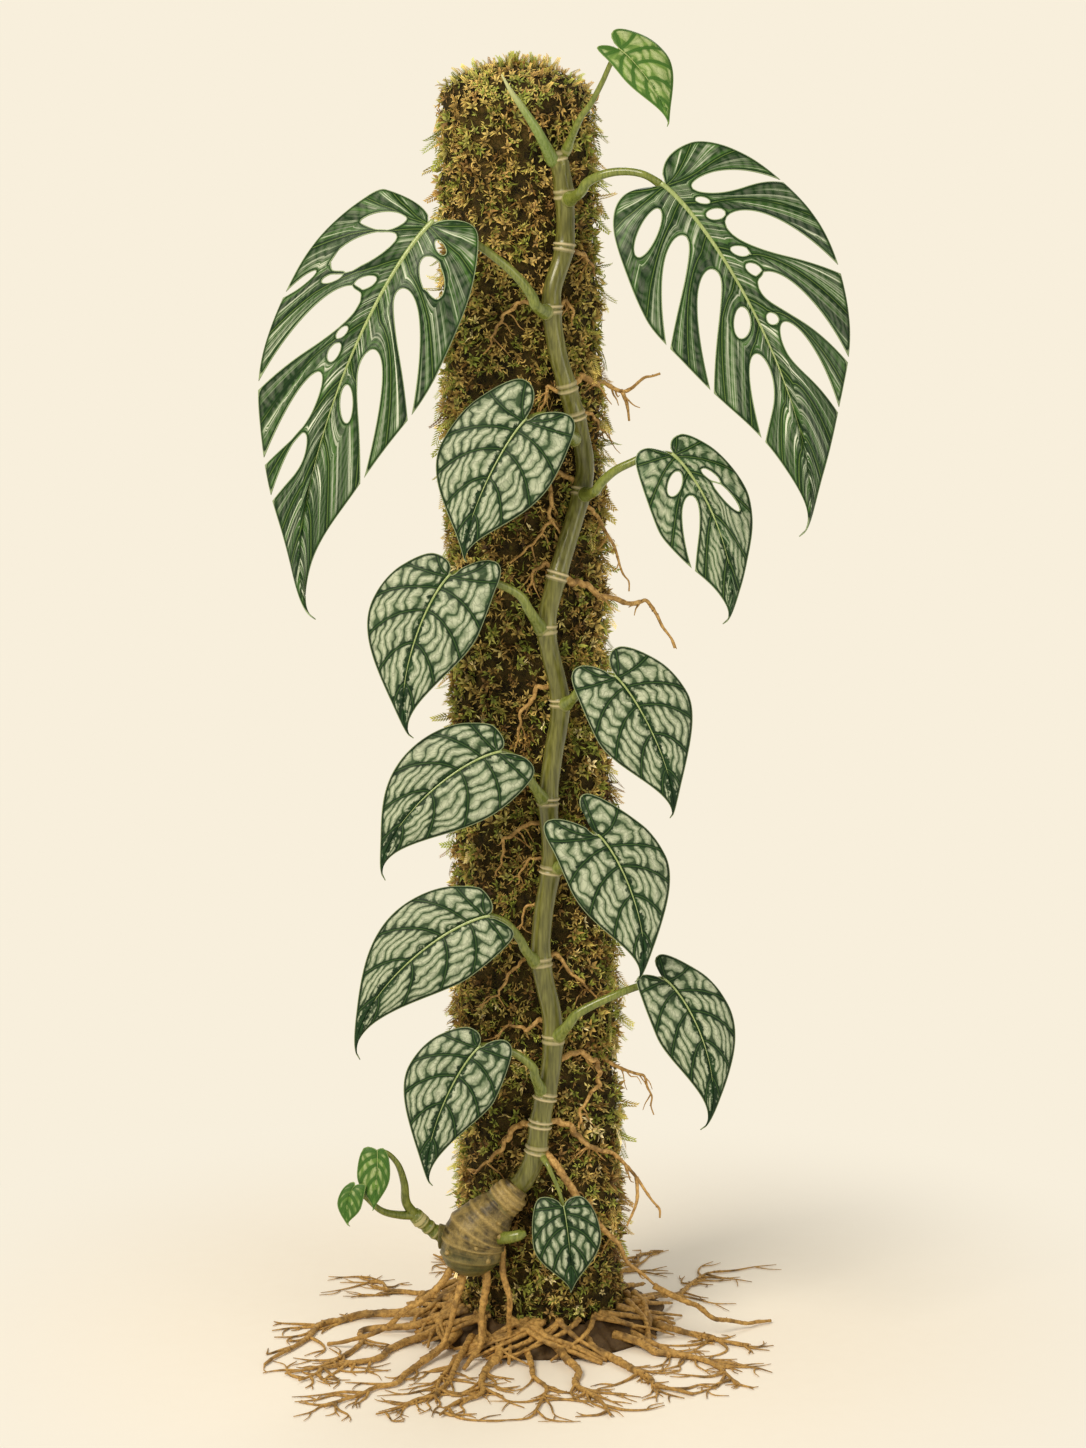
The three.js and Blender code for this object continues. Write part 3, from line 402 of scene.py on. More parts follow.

# %% [markdown]
# ## Sprigs of moss
# Living moss is thousands of small curled leaflets. A tuft is a handful of them, each a flattened
# six-faced solid with a curled tip. Copying it with an operator for each place would take
# minutes, so its points are turned and moved with one matrix for each copy and the copies are
# written as one mesh. Each copy draws its own shade of colour, which the finish reads, and the
# finish darkens each tuft towards its foot as painted shade and brightens its tips as a painted
# highlight.
# In the hollows between the tufts the dark packed moss shows, its near-black partly painted shade.

# %% The templates: a tuft, a curl and a frond
BANDS, BAND_TUFTS, WIDE_TUFTS, CURLS = 4, 1650, 2200, 1300
SIDE_FRONDS, STRANDS, DOME_TUFTS = 680, 210, 900
LOWEST, HIGHEST, SHADE_SPREAD = 8, POST_HEIGHT - POST_DOME, 0.2
draw = random.Random(11)
STEP = 0.618, 0.377, 0.23


def leaflet(bm, matrix, length, width, curl):
    """A closed lozenge from the origin up +Z, curled towards +Y, put in place by the matrix."""
    made = bmesh.ops.create_uvsphere(bm, u_segments=3, v_segments=2, radius=0.5)
    for v in made["verts"]:
        up = v.co.z + 0.5
        bent = v.co.y * 0.35 + curl * length * up * up
        v.co = matrix @ Vector((v.co.x * width, bent, up * length))


def template_of(bm):
    bmesh.ops.recalc_face_normals(bm, faces=bm.faces)
    points = np.array([v.co for v in bm.verts])
    faces = [[v.index for v in f.verts] for f in bm.faces]
    bm.free()
    return points, faces


def tuft(leaflets, length, spread, width):
    """Leaflets that fan out all round, of mixed lengths, widths and slants."""
    bm = bmesh.new()
    for i in range(leaflets):
        slant, size, breadth = ((i * step) % 1 for step in STEP)
        fan = math.radians(spread * (0.3 + 0.7 * slant))
        turn = Matrix.Rotation(2.4 * i, 4, "Z") @ Matrix.Rotation(-fan, 4, "X")
        leaflet(bm, turn, length * (0.7 + 0.6 * size), width * (0.8 + 0.4 * breadth), 0.35)
    return template_of(bm)


def curl_of(length, fat):
    """A strand that winds back on itself, with three leaflets."""
    bm = bmesh.new()
    cut_cylinder(bm, 3, 5, (fat, fat * 0.5))
    wound = 3.9
    for v in bm.verts:
        angle = (v.co.z + 0.5) * wound
        reach = length / wound + v.co.y
        rise = reach * math.sin(angle) + 0.9 * v.co.z
        v.co = Vector((v.co.x, reach * (1 - math.cos(angle)), rise))
    for i in range(3):
        place = Matrix.Translation((0, 0.12 * length * i, 0.22 * length))
        turn = Matrix.Rotation(2.1 * i, 4, "Z") @ Matrix.Rotation(0.9, 4, "X")
        leaflet(bm, place @ turn, length * 0.4, 1.1, 0.3)
    return template_of(bm)


def frond(pairs, length, width):
    """A little fern-like shoot: a bent axis with rounded leaflets on both sides."""
    bm = bmesh.new()
    bmesh.ops.create_cone(bm, cap_ends=True, segments=3, radius1=0.32, radius2=0.12,
                          depth=length, matrix=Matrix.Translation((0, 0, length / 2)))
    for i in range(2 * pairs):
        share = 0.2 + 0.8 * (i // 2 + 0.5 * (i % 2)) / pairs
        turn = Matrix.Rotation((1 if i % 2 else -1) * (1.0 - 0.4 * share), 4, "Y")
        size = length * 0.3 * (1.15 - 0.5 * share)
        leaflet(bm, Matrix.Translation((0, 0, share * length * 0.92)) @ turn, size, width, 0.15)
    for v in bm.verts:
        v.co.y += 0.35 * length * (v.co.z / length) ** 2
    return template_of(bm)


fine_tuft = tuft(6, 3.6, 78, 1.5)
wide_tuft = tuft(5, 5.0, 70, 2.1)
curled = curl_of(7.0, 0.3)
small_frond = frond(6, 10.0, 1.1)
hanging_strand = frond(8, 17.0, 0.9)
for label, made in (("tuft", fine_tuft), ("curl", curled), ("frond", small_frond)):
    print("a", label, "has", sum(len(f) - 2 for f in made[1]), "triangles")

# %% The finish of living moss
# Soft and only a little waxy, from brown over olive and yellow-green to straw. Each leaflet
# darkens towards the foot of its tuft, a painted shade, and grows paler towards its tip, the paler
# new growth brightened into a painted highlight.
living_moss, tree, shader = new_finish("living feather moss")
shade = add(tree, "Attribute", attribute_name="shade")["Fac"]
tip = add(tree, "Attribute", attribute_name="tip")["Fac"]
ramp = tree.nodes.new("ShaderNodeValToRGB")
for place, colour in ((0.18, "#7A5C2C"), (0.34, "#A2874A"), (0.46, "#B29E57"), (0.58, "#707A2E"),
                      (0.74, "#989C44"), (0.88, "#D0BC7C")):
    ramp.color_ramp.elements.new(place).color = linear(colour)
ramp.color_ramp.elements[0].color = linear("#4A3416")
ramp.color_ramp.elements[-1].color = linear("#EADCAC")
wire(tree, ramp, {"Fac": shade})
# Painted shade and highlight: the colour falls to a quarter at a tuft's foot and rises far above it
# at the tips.
light = add(tree, "MapRange", {"Value": tip, 3: 0.26, 4: 2.7})[0]
tint = add(tree, "Mix", {0: 1.0, 6: ramp.outputs[0], 7: light},
           data_type="RGBA", blend_type="MULTIPLY")[2]
wire(tree, shader, {"Base Color": tint, "Roughness": 0.6, "Specular IOR Level": 0.4})


def copies(name, template, places):
    """Writes one mesh of the template at every (matrix, shade) place."""
    points, faces = template
    count, reach = len(points), np.linalg.norm(points, axis=1)
    spots = [points @ np.array(m.to_3x3()).T + np.array(m.translation) for m, _ in places]
    all_faces = [[corner + k * count for corner in face]
                 for k in range(len(places)) for face in faces]
    mesh = bpy.data.meshes.new(name)
    mesh.from_pydata((np.concatenate(spots) * MM).tolist(), [], all_faces)
    # tip is a point's reach from the tuft's foot, which the finish turns into painted shade and
    # highlight.
    for key, values in (("shade", np.repeat([shade for _, shade in places], count)),
                        ("tip", np.tile(reach / reach.max(), len(places)))):
        mesh.attributes.new(key, "FLOAT", "POINT").data.foreach_set("value", values)
    mesh.materials.append(living_moss)
    settle(name, mesh, "moss_post")


def moss_shade(angle, z):
    """Tan on the upper face, olive and brown lower down, in clumps about as wide as a thumb."""
    round_post = (40 * math.cos(angle), 40 * math.sin(angle), z)
    upper = min(max((z / POST_HEIGHT - 0.55) / 0.3, 0), 1)
    clump = 0.46 + 0.34 * grain(round_post, 17, 3) + 0.16 * grain(round_post, 6, 9)
    shade = clump + 0.08 * max(z - POST_HEIGHT + 30, 0) / 30 + draw.gauss(0, SHADE_SPREAD)
    return min(max(shade + (0.41 - shade) * 0.4 * upper, 0), 1)


def turned(way):
    """A turn that points a tuft along the way, spun any way round."""
    spin = Matrix.Rotation(draw.uniform(0, 2 * math.pi), 4, "Z")
    return way.normalized().to_track_quat("Z", "Y").to_matrix().to_4x4() @ spin


def hanging(angle, hang, lean):
    """A turn that points a frond out from the post at this angle, and down by its hang."""
    return turned(Vector((math.cos(angle + lean), math.sin(angle + lean), -hang)))


def on_shaft(low, high, sink, size, out_share):
    """A place on the shaft for a tuft that lies over at random, out_share of the way outwards."""
    angle, turn = draw.uniform(-math.pi, math.pi), draw.uniform(-math.pi, math.pi)
    if math.sin(angle) > 0.25 and draw.random() < 0.5:
        angle = -angle
    z = draw.uniform(low, high)
    out = Vector((math.cos(angle), math.sin(angle), 0))
    aside = Vector((-math.sin(angle), math.cos(angle), 0))
    up = Vector((0, 0, math.sin(turn) - 0.3))
    way = turned(out * draw.uniform(*out_share) + aside * math.cos(turn) + up)
    place = Matrix.Translation(on_moss(angle, z, sink + 1.6 * draw.random()))
    return place @ way @ Matrix.Scale(draw.uniform(*size), 4), moss_shade(angle, z)


# %% Moss all over the shaft
for band in range(BANDS):
    low = LOWEST + (HIGHEST - LOWEST) * band / BANDS
    high = LOWEST + (HIGHEST - LOWEST) * (band + 1) / BANDS
    copies(f"moss_tufts_{band + 1}", fine_tuft,
           [on_shaft(low, high, -0.9, (0.7, 1.35), (0.1, 1.1)) for _ in range(BAND_TUFTS)])
copies("moss_wide_tufts", wide_tuft,
       [on_shaft(LOWEST, HIGHEST, -0.8, (0.7, 1.3), (0.1, 0.9)) for _ in range(WIDE_TUFTS)])
copies("moss_curls", curled,
       [on_shaft(LOWEST, HIGHEST, -0.4, (0.6, 1.25), (0.1, 0.6)) for _ in range(CURLS)])

# %% Fronds that hang off the sides and stand on the domed top
places = []
for k in range(SIDE_FRONDS):
    angle = math.pi / 2 + draw.uniform(-1, 1) * 0.62 * math.pi
    if k % 2:
        angle = draw.choice((0, math.pi)) + draw.gauss(0, 0.3)
    z = draw.uniform(24, HIGHEST)
    way = hanging(angle, draw.uniform(0.1, 2.2), draw.gauss(0, 0.3))
    size = Matrix.Scale(draw.uniform(0.45, 1.3) ** 1.2, 4)
    matrix = Matrix.Translation(on_moss(angle, z, -0.5)) @ way @ size
    places.append((matrix, min(moss_shade(angle, z) + 0.1, 1)))
on_top = []
for k in range(DOME_TUFTS):
    angle, rise = draw.uniform(-math.pi, math.pi), 1 - draw.random() ** 2
    z = HIGHEST + POST_DOME * rise
    up = 1.4 * rise / math.sqrt(1.02 - rise * rise) + draw.gauss(0, 0.4)
    way = turned(Vector((math.cos(angle), math.sin(angle), up)))
    spot = Matrix.Translation(on_moss(angle, z, -0.8)) @ way
    if k % 3 == 0 and rise > 0.3:
        size = Matrix.Scale(draw.uniform(0.3, 0.85), 4)
        places.append((spot @ size, min(max(draw.gauss(0.52, 0.16), 0), 1)))
    else:
        on_top.append((spot @ Matrix.Scale(draw.uniform(0.6, 1.1), 4), moss_shade(angle, z)))
copies("moss_fronds", small_frond, places)
places = []
for _ in range(STRANDS):
    angle, z = draw.choice((0, math.pi)) + draw.gauss(0, 0.3), draw.uniform(60, HIGHEST)
    way = hanging(angle, draw.uniform(0.9, 3.2), draw.gauss(0, 0.3))
    size = Matrix.Scale(draw.uniform(0.5, 1.1), 4)
    matrix = Matrix.Translation(on_moss(angle, z, -0.3)) @ way @ size
    places.append((matrix, min(moss_shade(angle, z) + 0.08, 1)))
copies("moss_strands", hanging_strand, places)
copies("moss_top_tufts", fine_tuft, on_top)

# %% [markdown]
# ## The stem
# The stem of a climbing aroid is a chain of joints. At each node, where a leaf and its roots start,
# it swells and two thin corky rings cross it, the scars of the leaf that stood there. The tube's
# radius carries both, and the mark tells the finish where to turn from olive to cream.

# %% The stem
STEM_PLACES = [
    (8, 703), (12, 678), (12, 648), (5, 622), (8, 591), (14, 569), (21, 543), (24, 524), (22, 509),
    (13, 478), (6, 454), (2, 432), (10, 388), (6, 358), (3, 331), (5, 296), (0, 262), (-1, 236),
    (5, 205), (6, 189), (4, 168), (1, 154), (-2, 137), (-5, 118), (-12, 103), (-20, 96),
]
STEM_NODES = [
    (9, 700), (12, 678), (12, 648), (5, 614), (14, 569), (17, 552), (22, 509), (9, 461), (2, 432),
    (10, 388), (3, 331), (5, 291), (-1, 236), (6, 189), (2, 156), (-2, 139), (-4, 123),
]


def green_finish(name, dark, mid, light, streak_mm, ring="#D2B98A"):
    """A living green skin with fine lengthwise streaks, a waxy gloss and corky rings."""
    finish, tree, shader = new_finish(name)
    spot = add(tree, "TexCoord")["Object"]
    squeezed = add(tree, "Mapping", {"Vector": spot, "Scale": (1.0, 1.0, 0.12)})[0]
    streak = add(tree, "TexNoise",
                 {"Vector": squeezed, "Scale": 1 / (streak_mm * MM), "Detail": 4.0})[0]
    patch = add(tree, "TexNoise", {"Vector": spot, "Scale": 55.0, "Detail": 2.0})[0]
    mark = add(tree, "Attribute", attribute_name="mark")["Fac"]
    tint = glaze(tree, mid, ((streak, 0.34, 0.66, 0.0, 1.0, light),
                             (patch, 0.5, 0.75, 0.0, 0.35, dark), (mark, 0.0, 1.0, 0.0, 1.0, ring)))
    rough = add(tree, "MapRange", {"Value": mark, 3: 0.24, 4: 0.8})[0]
    bump = add(tree, "Bump", {"Height": streak, "Strength": 0.08, "Distance": 0.0006})[0]
    wire(tree, shader, {
        "Base Color": tint, "Roughness": rough, "Normal": bump, "Specular IOR Level": 0.6})
    return finish


stem_skin = green_finish("waxy stem skin", "#33340F", "#54541F", "#7E7D3C", 1.6, "#DCCB9E")
stalk_skin = green_finish("smooth leaf stalk skin", "#3E4C18", "#5F6C26", "#878F40", 1.2, "#CFC48C")
bm = new_body()
stem_line = [on_post(x, z, STEM_OFF) for x, z in STEM_PLACES]
path, *_, stem_run = smooth_line(stem_line)
away = [np.linalg.norm(path - np.array(on_post(x, z, STEM_OFF)), axis=1) for x, z in STEM_NODES]
ring_places = [int(np.argmin(gaps)) / (SAMPLES - 1) for gaps in away]


def ring_gap(t, run):
    return min(abs(t - ring) * run for ring in ring_places)


def stem_radius(t, angle, run):
    gap = ring_gap(t, run)
    lips = 0.8 * (math.exp(-((gap - 1.6) / 0.5) ** 2) - 0.5 * math.exp(-(gap / 0.7) ** 2))
    joint = 0.6 * math.exp(-(gap / 6) ** 2)
    ribs = 0.05 * math.sin(9 * angle)
    return STEM_R + 0.9 * t * t + lips + joint + ribs - 3.2 * max(0.012 - t, 0) / 0.012


def stem_mark(t, run):
    gap = ring_gap(t, run)
    return math.exp(-((gap - 1.6) / 0.55) ** 2)


bent_tube(bm, stem_line, stem_radius, 16, 1.0, stem_mark)
place_piece("stem_with_rings", bm, [stem_skin], "vine_stem")
print("the stem is", round(stem_run), "mm long")

# %% [markdown]
# ## Leaf blades
# A blade is flat paper that was bent: a grid of rows and columns. Each row follows one vein, from
# the midrib out to the margin, so the vein pattern and the holes are true to how a leaf grows. q
# counts the veins round from the notch at the stalk to the tip and r runs along one. Where a grown
# leaf is cut, two rows part, and the faces between them go. Solidify gives the sheet its body.

# %% Where a place on the blade lies
BLADE_ARCH, BLADE_DROOP = 0.24, 0.06
HEART_VEINS = {"first": 0.2, "crowd": 2.1, "out": 0.62, "on": 0.13}
CUT_VEINS = {"first": 0.28, "crowd": 2.4, "out": 0.45, "on": 0.2}
MARGIN_SHARES = (0, 0.14, 0.46, 1)


def bow(leaf, v):
    t = v / leaf["length"]
    held = np.clip(t, 0, 1)
    curve = ((held + 0.04) ** 0.65 - 0.04**0.65) * (1 - held) ** 0.5
    return leaf["bend"] * np.where(t < 0, t * 0.65 * 0.04**-0.35, curve)


def margin(half, length, q):
    w, widest, lobe, lobe_at, full = half
    p, top = widest * length, lobe_at * w
    curves = [
        ((0, 0), (0.1 * w, -0.62 * lobe), (0.55 * top, -lobe), (top, -lobe)),
        ((top, -lobe), (top + 0.56 * (w - top), -lobe), (w, p - 0.52 * (p + lobe)), (w, p)),
        ((w, p), (w, p + full * (length - p)), (0.1 * w, length - 0.3 * (length - p)),
         (0, length)),
    ]
    x, y = np.zeros_like(q), np.zeros_like(q)
    for corners, low, high in zip(curves, MARGIN_SHARES, MARGIN_SHARES[1:]):
        t = np.clip((q - low) / (high - low), 0, 1)
        weights = ((1 - t) ** 3, 3 * t * (1 - t) ** 2, 3 * t * t * (1 - t), t**3)
        inside = q >= low
        x = np.where(inside, sum(k * c[0] for k, c in zip(weights, corners)), x)
        y = np.where(inside, sum(k * c[1] for k, c in zip(weights, corners)), y)
    return x, y


def blade_place(leaf, hand, q, r):
    """(u, v, height) on the blade: u to its right, v down to its tip, height off its plane."""
    veins, length = leaf["veins"], leaf["length"]
    edge_x, edge_v = margin(leaf["right"] if hand > 0 else leaf["left"], length, q)
    edge_u = hand * edge_x + bow(leaf, edge_v)
    base_v = np.clip((q - veins["first"]) / (1 - veins["first"]), 0, 1) ** veins["crowd"] * length
    base_u = bow(leaf, base_v)
    span_u, span_v = edge_u - base_u, edge_v - base_v
    u = base_u + 2 * r * (1 - r) * veins["out"] * span_u + r * r * span_u
    v = base_v + 2 * r * (1 - r) * veins["on"] * span_v + r * r * span_v
    arch = BLADE_ARCH * np.hypot(span_u, span_v) * (r - 1.25 * r * r)
    droop = BLADE_DROOP * length * (np.maximum(v, 0) / length) ** 2
    wave = leaf["wave"] * r * r * np.sin(2 * np.pi * (5 * q + (0 if hand > 0 else 0.4)))
    return u, v, arch - droop + wave


def make_leaf(name, sinus, tip, roll, bend, left, right, wave=0.0, slots=()):
    sinus, down = Vector(sinus), Vector(tip) - Vector(sinus)
    length = down.length
    down.normalize()
    front = (Vector((0, -1, 0)) + down * down.y).normalized()
    side = front.cross(down)
    turn = math.radians(roll)
    return {
        "name": name, "sinus": sinus, "length": length, "down": down, "bend": bend, "wave": wave,
        "left": left, "right": right, "slots": slots,
        "veins": CUT_VEINS if slots else HEART_VEINS,
        "normal": front * math.cos(turn) + side * math.sin(turn),
        "across": side * math.cos(turn) - front * math.sin(turn),
    }


def in_leaf_plane(leaf, u, v, height):
    return leaf["sinus"] + leaf["across"] * u + leaf["down"] * v + leaf["normal"] * height


def through_three(q, share):
    """The value at a share of the way along a curve given at its start, middle and end."""
    start, middle, end = q
    first, second = 4 * middle - 3 * start - end, 2 * (start + end - 2 * middle)
    return start + first * share + second * share**2


def slot_width(share, is_open):
    """A window is an ellipse, an open slot a drop whose narrow end is its mouth at the margin."""
    if not is_open:
        return np.sqrt(np.maximum(1 - (2 * share - 1) ** 2, 0))
    round_end = np.sqrt(np.maximum(1 - (1 - np.minimum(share / 0.4, 1)) ** 2, 0))
    return np.where(share < 0.4, round_end, 1 - 0.93 * (np.maximum(share - 0.4, 0) / 0.6) ** 1.7)


LEFT, RIGHT = -1, 1
# Name, notch, tip, roll, bend, the margins left and right, and of a cut leaf its wave and holes,
# each with its side, q at its start, middle and end, r from and to, and half its width.
LEAVES = [make_leaf(*spec) for spec in (
    ("heart_leaf_1", (-10, -76, 554), (-43, -92, 476), -8, -18,
     (33, 0.33, 21, 0.56, 0.46), (33, 0.29, 12, 0.48, 0.46)),
    ("heart_leaf_2", (-53, -76, 466), (-74, -94, 376), -10, -30,
     (32, 0.24, 10.5, 0.56, 0.38), (33, 0.3, 13.5, 0.41, 0.32)),
    ("heart_leaf_3", (41.5, -76, 408), (72.5, -94, 330), 10, 21,
     (30, 0.35, 13, 0.38, 0.33), (29, 0.26, 15.5, 0.5, 0.29)),
    ("heart_leaf_4", (-25, -78, 365), (-90, -92, 293), -8, -38,
     (27, 0.2, 9, 0.7, 0.6), (33, 0.27, 7.5, 0.3, 0.36)),
    ("heart_leaf_5", (32, -76, 316), (53, -94, 234), 8, 28,
     (32, 0.3, 15.5, 0.47, 0.4), (27, 0.23, 25, 0.53, 0.3)),
    ("heart_leaf_6", (-32, -78, 269), (-106, -90, 187), -12, -43,
     (28.5, 0.22, 9.5, 0.7, 0.45), (29, 0.3, 4, 0.4, 0.25)),
    ("heart_leaf_7", (71, -68, 229), (92, -88, 145), 14, 35,
     (24.5, 0.35, 6, 0.34, 0.29), (23, 0.25, 15, 0.55, 0.39)),
    ("heart_leaf_8", (-37, -76, 191), (-64, -94, 113), -6, -24,
     (28, 0.27, 9, 0.47, 0.34), (26, 0.32, 8.5, 0.3, 0.2)),
    ("heart_leaf_9", (12, -72, 94), (16, -88, 47), 0, 4,
     (21, 0.42, 6.5, 0.52, 0.45), (19, 0.36, 5.5, 0.52, 0.4)),
    ("top_leaf", (42, -74, 759), (69, -88, 718), 22, 12,
     (11, 0.3, 7, 0.6, 0.35), (19, 0.26, 11, 0.5, 0.4)),
    ("shoot_leaf_1", (-96, -82, 131), (-99, -90, 97), -10, 3,
     (12, 0.42, 1.5, 0.5, 0.45), (7.5, 0.4, 1.5, 0.5, 0.4)),
    ("shoot_leaf_2", (-109, -86, 111), (-112, -94, 89), -16, -9,
     (6, 0.4, 2, 0.5, 0.4), (9, 0.45, 1.5, 0.5, 0.5)),
    ("cut_leaf_left", (-63, -80, 663), (-130, -112, 447), -14, -62,
     (52.5, 0.28, 12, 0.7, 0.47), (49, 0.3, 7, 0.3, 0.31), 1.6, (
         (LEFT, (0.335, 0.3, 0.305), (0.25, 0.72), 4.9),
         (LEFT, (0.468, 0.455, 0.431), (0.18, 0.69), 7.4),
         (LEFT, (0.45, 0.448, 0.448), (0.78, 1.04), 2.2),
         (LEFT, (0.638, 0.592, 0.588), (0.22, 1.04), 8.2),
         (LEFT, (0.748, 0.727, 0.712), (0.41, 1.04), 6.8),
         (LEFT, (0.813, 0.79, 0.78), (0.52, 1.04), 4.3),
         (LEFT, (0.6, 0.589, 0.572), (0.14, 0.35), 2.4),
         (LEFT, (0.718, 0.709, 0.697), (0.25, 0.42), 2.5),
         (LEFT, (0.515, 0.502, 0.487), (0.5, 0.68), 1.6),
         (LEFT, (0.686, 0.68, 0.674), (0.24, 0.37), 1.6),
         (RIGHT, (0.387, 0.38, 0.37), (0.26, 0.48), 2.2),
         (RIGHT, (0.485, 0.46, 0.436), (0.25, 0.68), 5.5),
         (RIGHT, (0.6, 0.575, 0.59), (0.22, 1.03), 6.5),
         (RIGHT, (0.723, 0.7, 0.725), (0.27, 1.02), 7),
         (RIGHT, (0.784, 0.774, 0.764), (0.14, 0.55), 3.1))),
    ("cut_leaf_right", (67.5, -80, 684), (145, -112, 494), 14, 58,
     (55, 0.31, 4, 0.3, 0.26), (60, 0.25, 18, 0.56, 0.48), 1.6, (
         (RIGHT, (0.419, 0.358, 0.362), (0.18, 1.02), 5.3),
         (RIGHT, (0.582, 0.535, 0.525), (0.22, 1.04), 8.7),
         (RIGHT, (0.711, 0.67, 0.68), (0.27, 1.03), 6.9),
         (RIGHT, (0.784, 0.757, 0.77), (0.36, 1.03), 7),
         (RIGHT, (0.489, 0.487, 0.487), (0.12, 0.22), 1.7),
         (RIGHT, (0.555, 0.541, 0.524), (0.11, 0.28), 2.3),
         (RIGHT, (0.647, 0.64, 0.628), (0.14, 0.32), 2),
         (RIGHT, (0.679, 0.672, 0.662), (0.21, 0.37), 2.3),
         (RIGHT, (0.77, 0.758, 0.745), (0.2, 0.4), 1.7),
         (LEFT, (0.421, 0.404, 0.385), (0.28, 0.81), 4.6),
         (LEFT, (0.56, 0.538, 0.545), (0.26, 1.03), 6.2),
         (LEFT, (0.67, 0.65, 0.665), (0.22, 1.02), 6.3),
         (LEFT, (0.757, 0.745, 0.73), (0.13, 0.52), 3.8),
         (LEFT, (0.816, 0.794, 0.788), (0.32, 1.02), 6.0))),
    ("cut_leaf_small", (73.5, -74, 534), (102, -96, 442), 12, 33,
     (32, 0.38, 8, 0.3, 0.33), (24.5, 0.3, 10.5, 0.6, 0.3), 0.6, (
         (LEFT, (0.528, 0.514, 0.494), (0.17, 0.58), 3.6),
         (LEFT, (0.665, 0.66, 0.7), (0.25, 1.03), 5.4),
         (RIGHT, (0.541, 0.538, 0.541), (0.28, 0.56), 2.3),
         (RIGHT, (0.599, 0.606, 0.616), (0.39, 0.81), 3.2))),
)]
print("longest blade:", round(max(leaf["length"] for leaf in LEAVES)), "mm")

# %% [markdown]
# ### One half of a blade
# The rows are set out first, as numbers: one along each lateral vein, two round each hole, and
# evenly spaced ones between. Then an operator makes the grid, its points move to their places, the
# faces inside the holes are deleted and doubled points are merged. Each point keeps how far it is
# from the next vein, from the midrib and from the nearest edge, how far it lies along its row, as
# a share (lane) and in millimetres (run), and its place across the flow of the rows, which bends
# round the holes. The colours follow all of these.

# %% One half of a blade
ROW_MM, COLUMN_MM, CUT_COLUMN_MM = 2.0, 2.0, 1.4
WALL, WALL_FALL, WIDEST_HOLE, HOLE_WITH_VEIN = 0.009, 0.5, 0.07, 2.7
BLADE_LAYERS = ("vein", "rib", "lane", "run", "flow", "edge")
HEART_LATERALS = (0.13, 0.29, 0.45, 0.6, 0.74, 0.87)
SMALL_CUT_LATERALS = (0.12, 0.26, 0.4, 0.57, 0.76, 0.88)


def columns_of(leaf, hand):
    """The columns' r: evenly spaced, and close pairs at the round ends of the holes."""
    widest = leaf["left" if hand < 0 else "right"][0]
    count = max(int(widest / (CUT_COLUMN_MM if leaf["slots"] else COLUMN_MM)), 8)
    wanted = list(np.arange(1, count + 1) / count)
    for side, _, (r0, r1), _ in leaf["slots"]:
        if side == hand:
            wanted += [r0, r0 + 0.012] + ([r1 - 0.012, r1] if r1 < 1 else [])
    kept = [0.0]
    for r in sorted(wanted):
        if r - kept[-1] > 0.004:
            kept.append(r)
    return np.array(kept[:-1] + [1.0])


def holes_of(leaf, hand, r):
    """Each hole's middle as q at every r, half its width in q, and half its width in mm."""
    holes = []
    for side, q, (r0, r1), half in leaf["slots"]:
        if side != hand:
            continue
        share = np.clip((r - r0) / (r1 - r0), 0, 1)
        middle = through_three(q, share)
        u, v, _ = blade_place(leaf, hand, middle, r)
        du, dv, _ = blade_place(leaf, hand, middle + 0.004, r)
        ou, ov, _ = blade_place(leaf, hand, middle, r + 0.01)
        cross = np.abs((du - u) * (ov - v) - (dv - v) * (ou - u)) / 0.004
        mm_per_q = np.maximum(cross / np.maximum(np.hypot(ou - u, ov - v), 1e-6), 1)
        width = half * slot_width(share, r1 > 1) * ((r > r0) & (r < r1))
        beyond = np.maximum(r0 - r, 0) + np.maximum(r - r1, 0)
        holes.append((middle, np.minimum(width / mm_per_q, WIDEST_HOLE), half, beyond * WALL_FALL))
    holes.sort(key=lambda hole: hole[0][0])
    # Where two holes lie closer than a wall, both give way, and an open one also for a shut end.
    for one, other in list(itertools.combinations(holes, 2)) * 4:
        missing = one[0] + one[1] + WALL - one[3] - other[3] - (other[0] - other[1])
        for (middle, width, *_), way in ((one, -1), (other, 1)):
            give = np.clip(missing / 4, 0, width)
            middle += way * give
            width -= give
    return [hole[:3] for hole in holes]


def laterals_of(leaf, hand, r):
    """The lateral veins as q at every r. Those of a cut leaf run down the middle of its fingers."""
    cuts = [middle for middle, _, half in holes_of(leaf, hand, r) if half > HOLE_WITH_VEIN]
    if not cuts or leaf["name"] == "cut_leaf_small":
        return [np.full_like(r, q) for q in (SMALL_CUT_LATERALS if cuts else HEART_LATERALS)]
    first, last = cuts[0] - 0.04, 1 - cuts[-1]
    between = [(a + b) / 2 for a, b in zip(cuts, cuts[1:])]
    return [0.04 + 0.34 * first, 0.04 + 0.7 * first, *between, 1 - 0.72 * last, 1 - 0.42 * last]


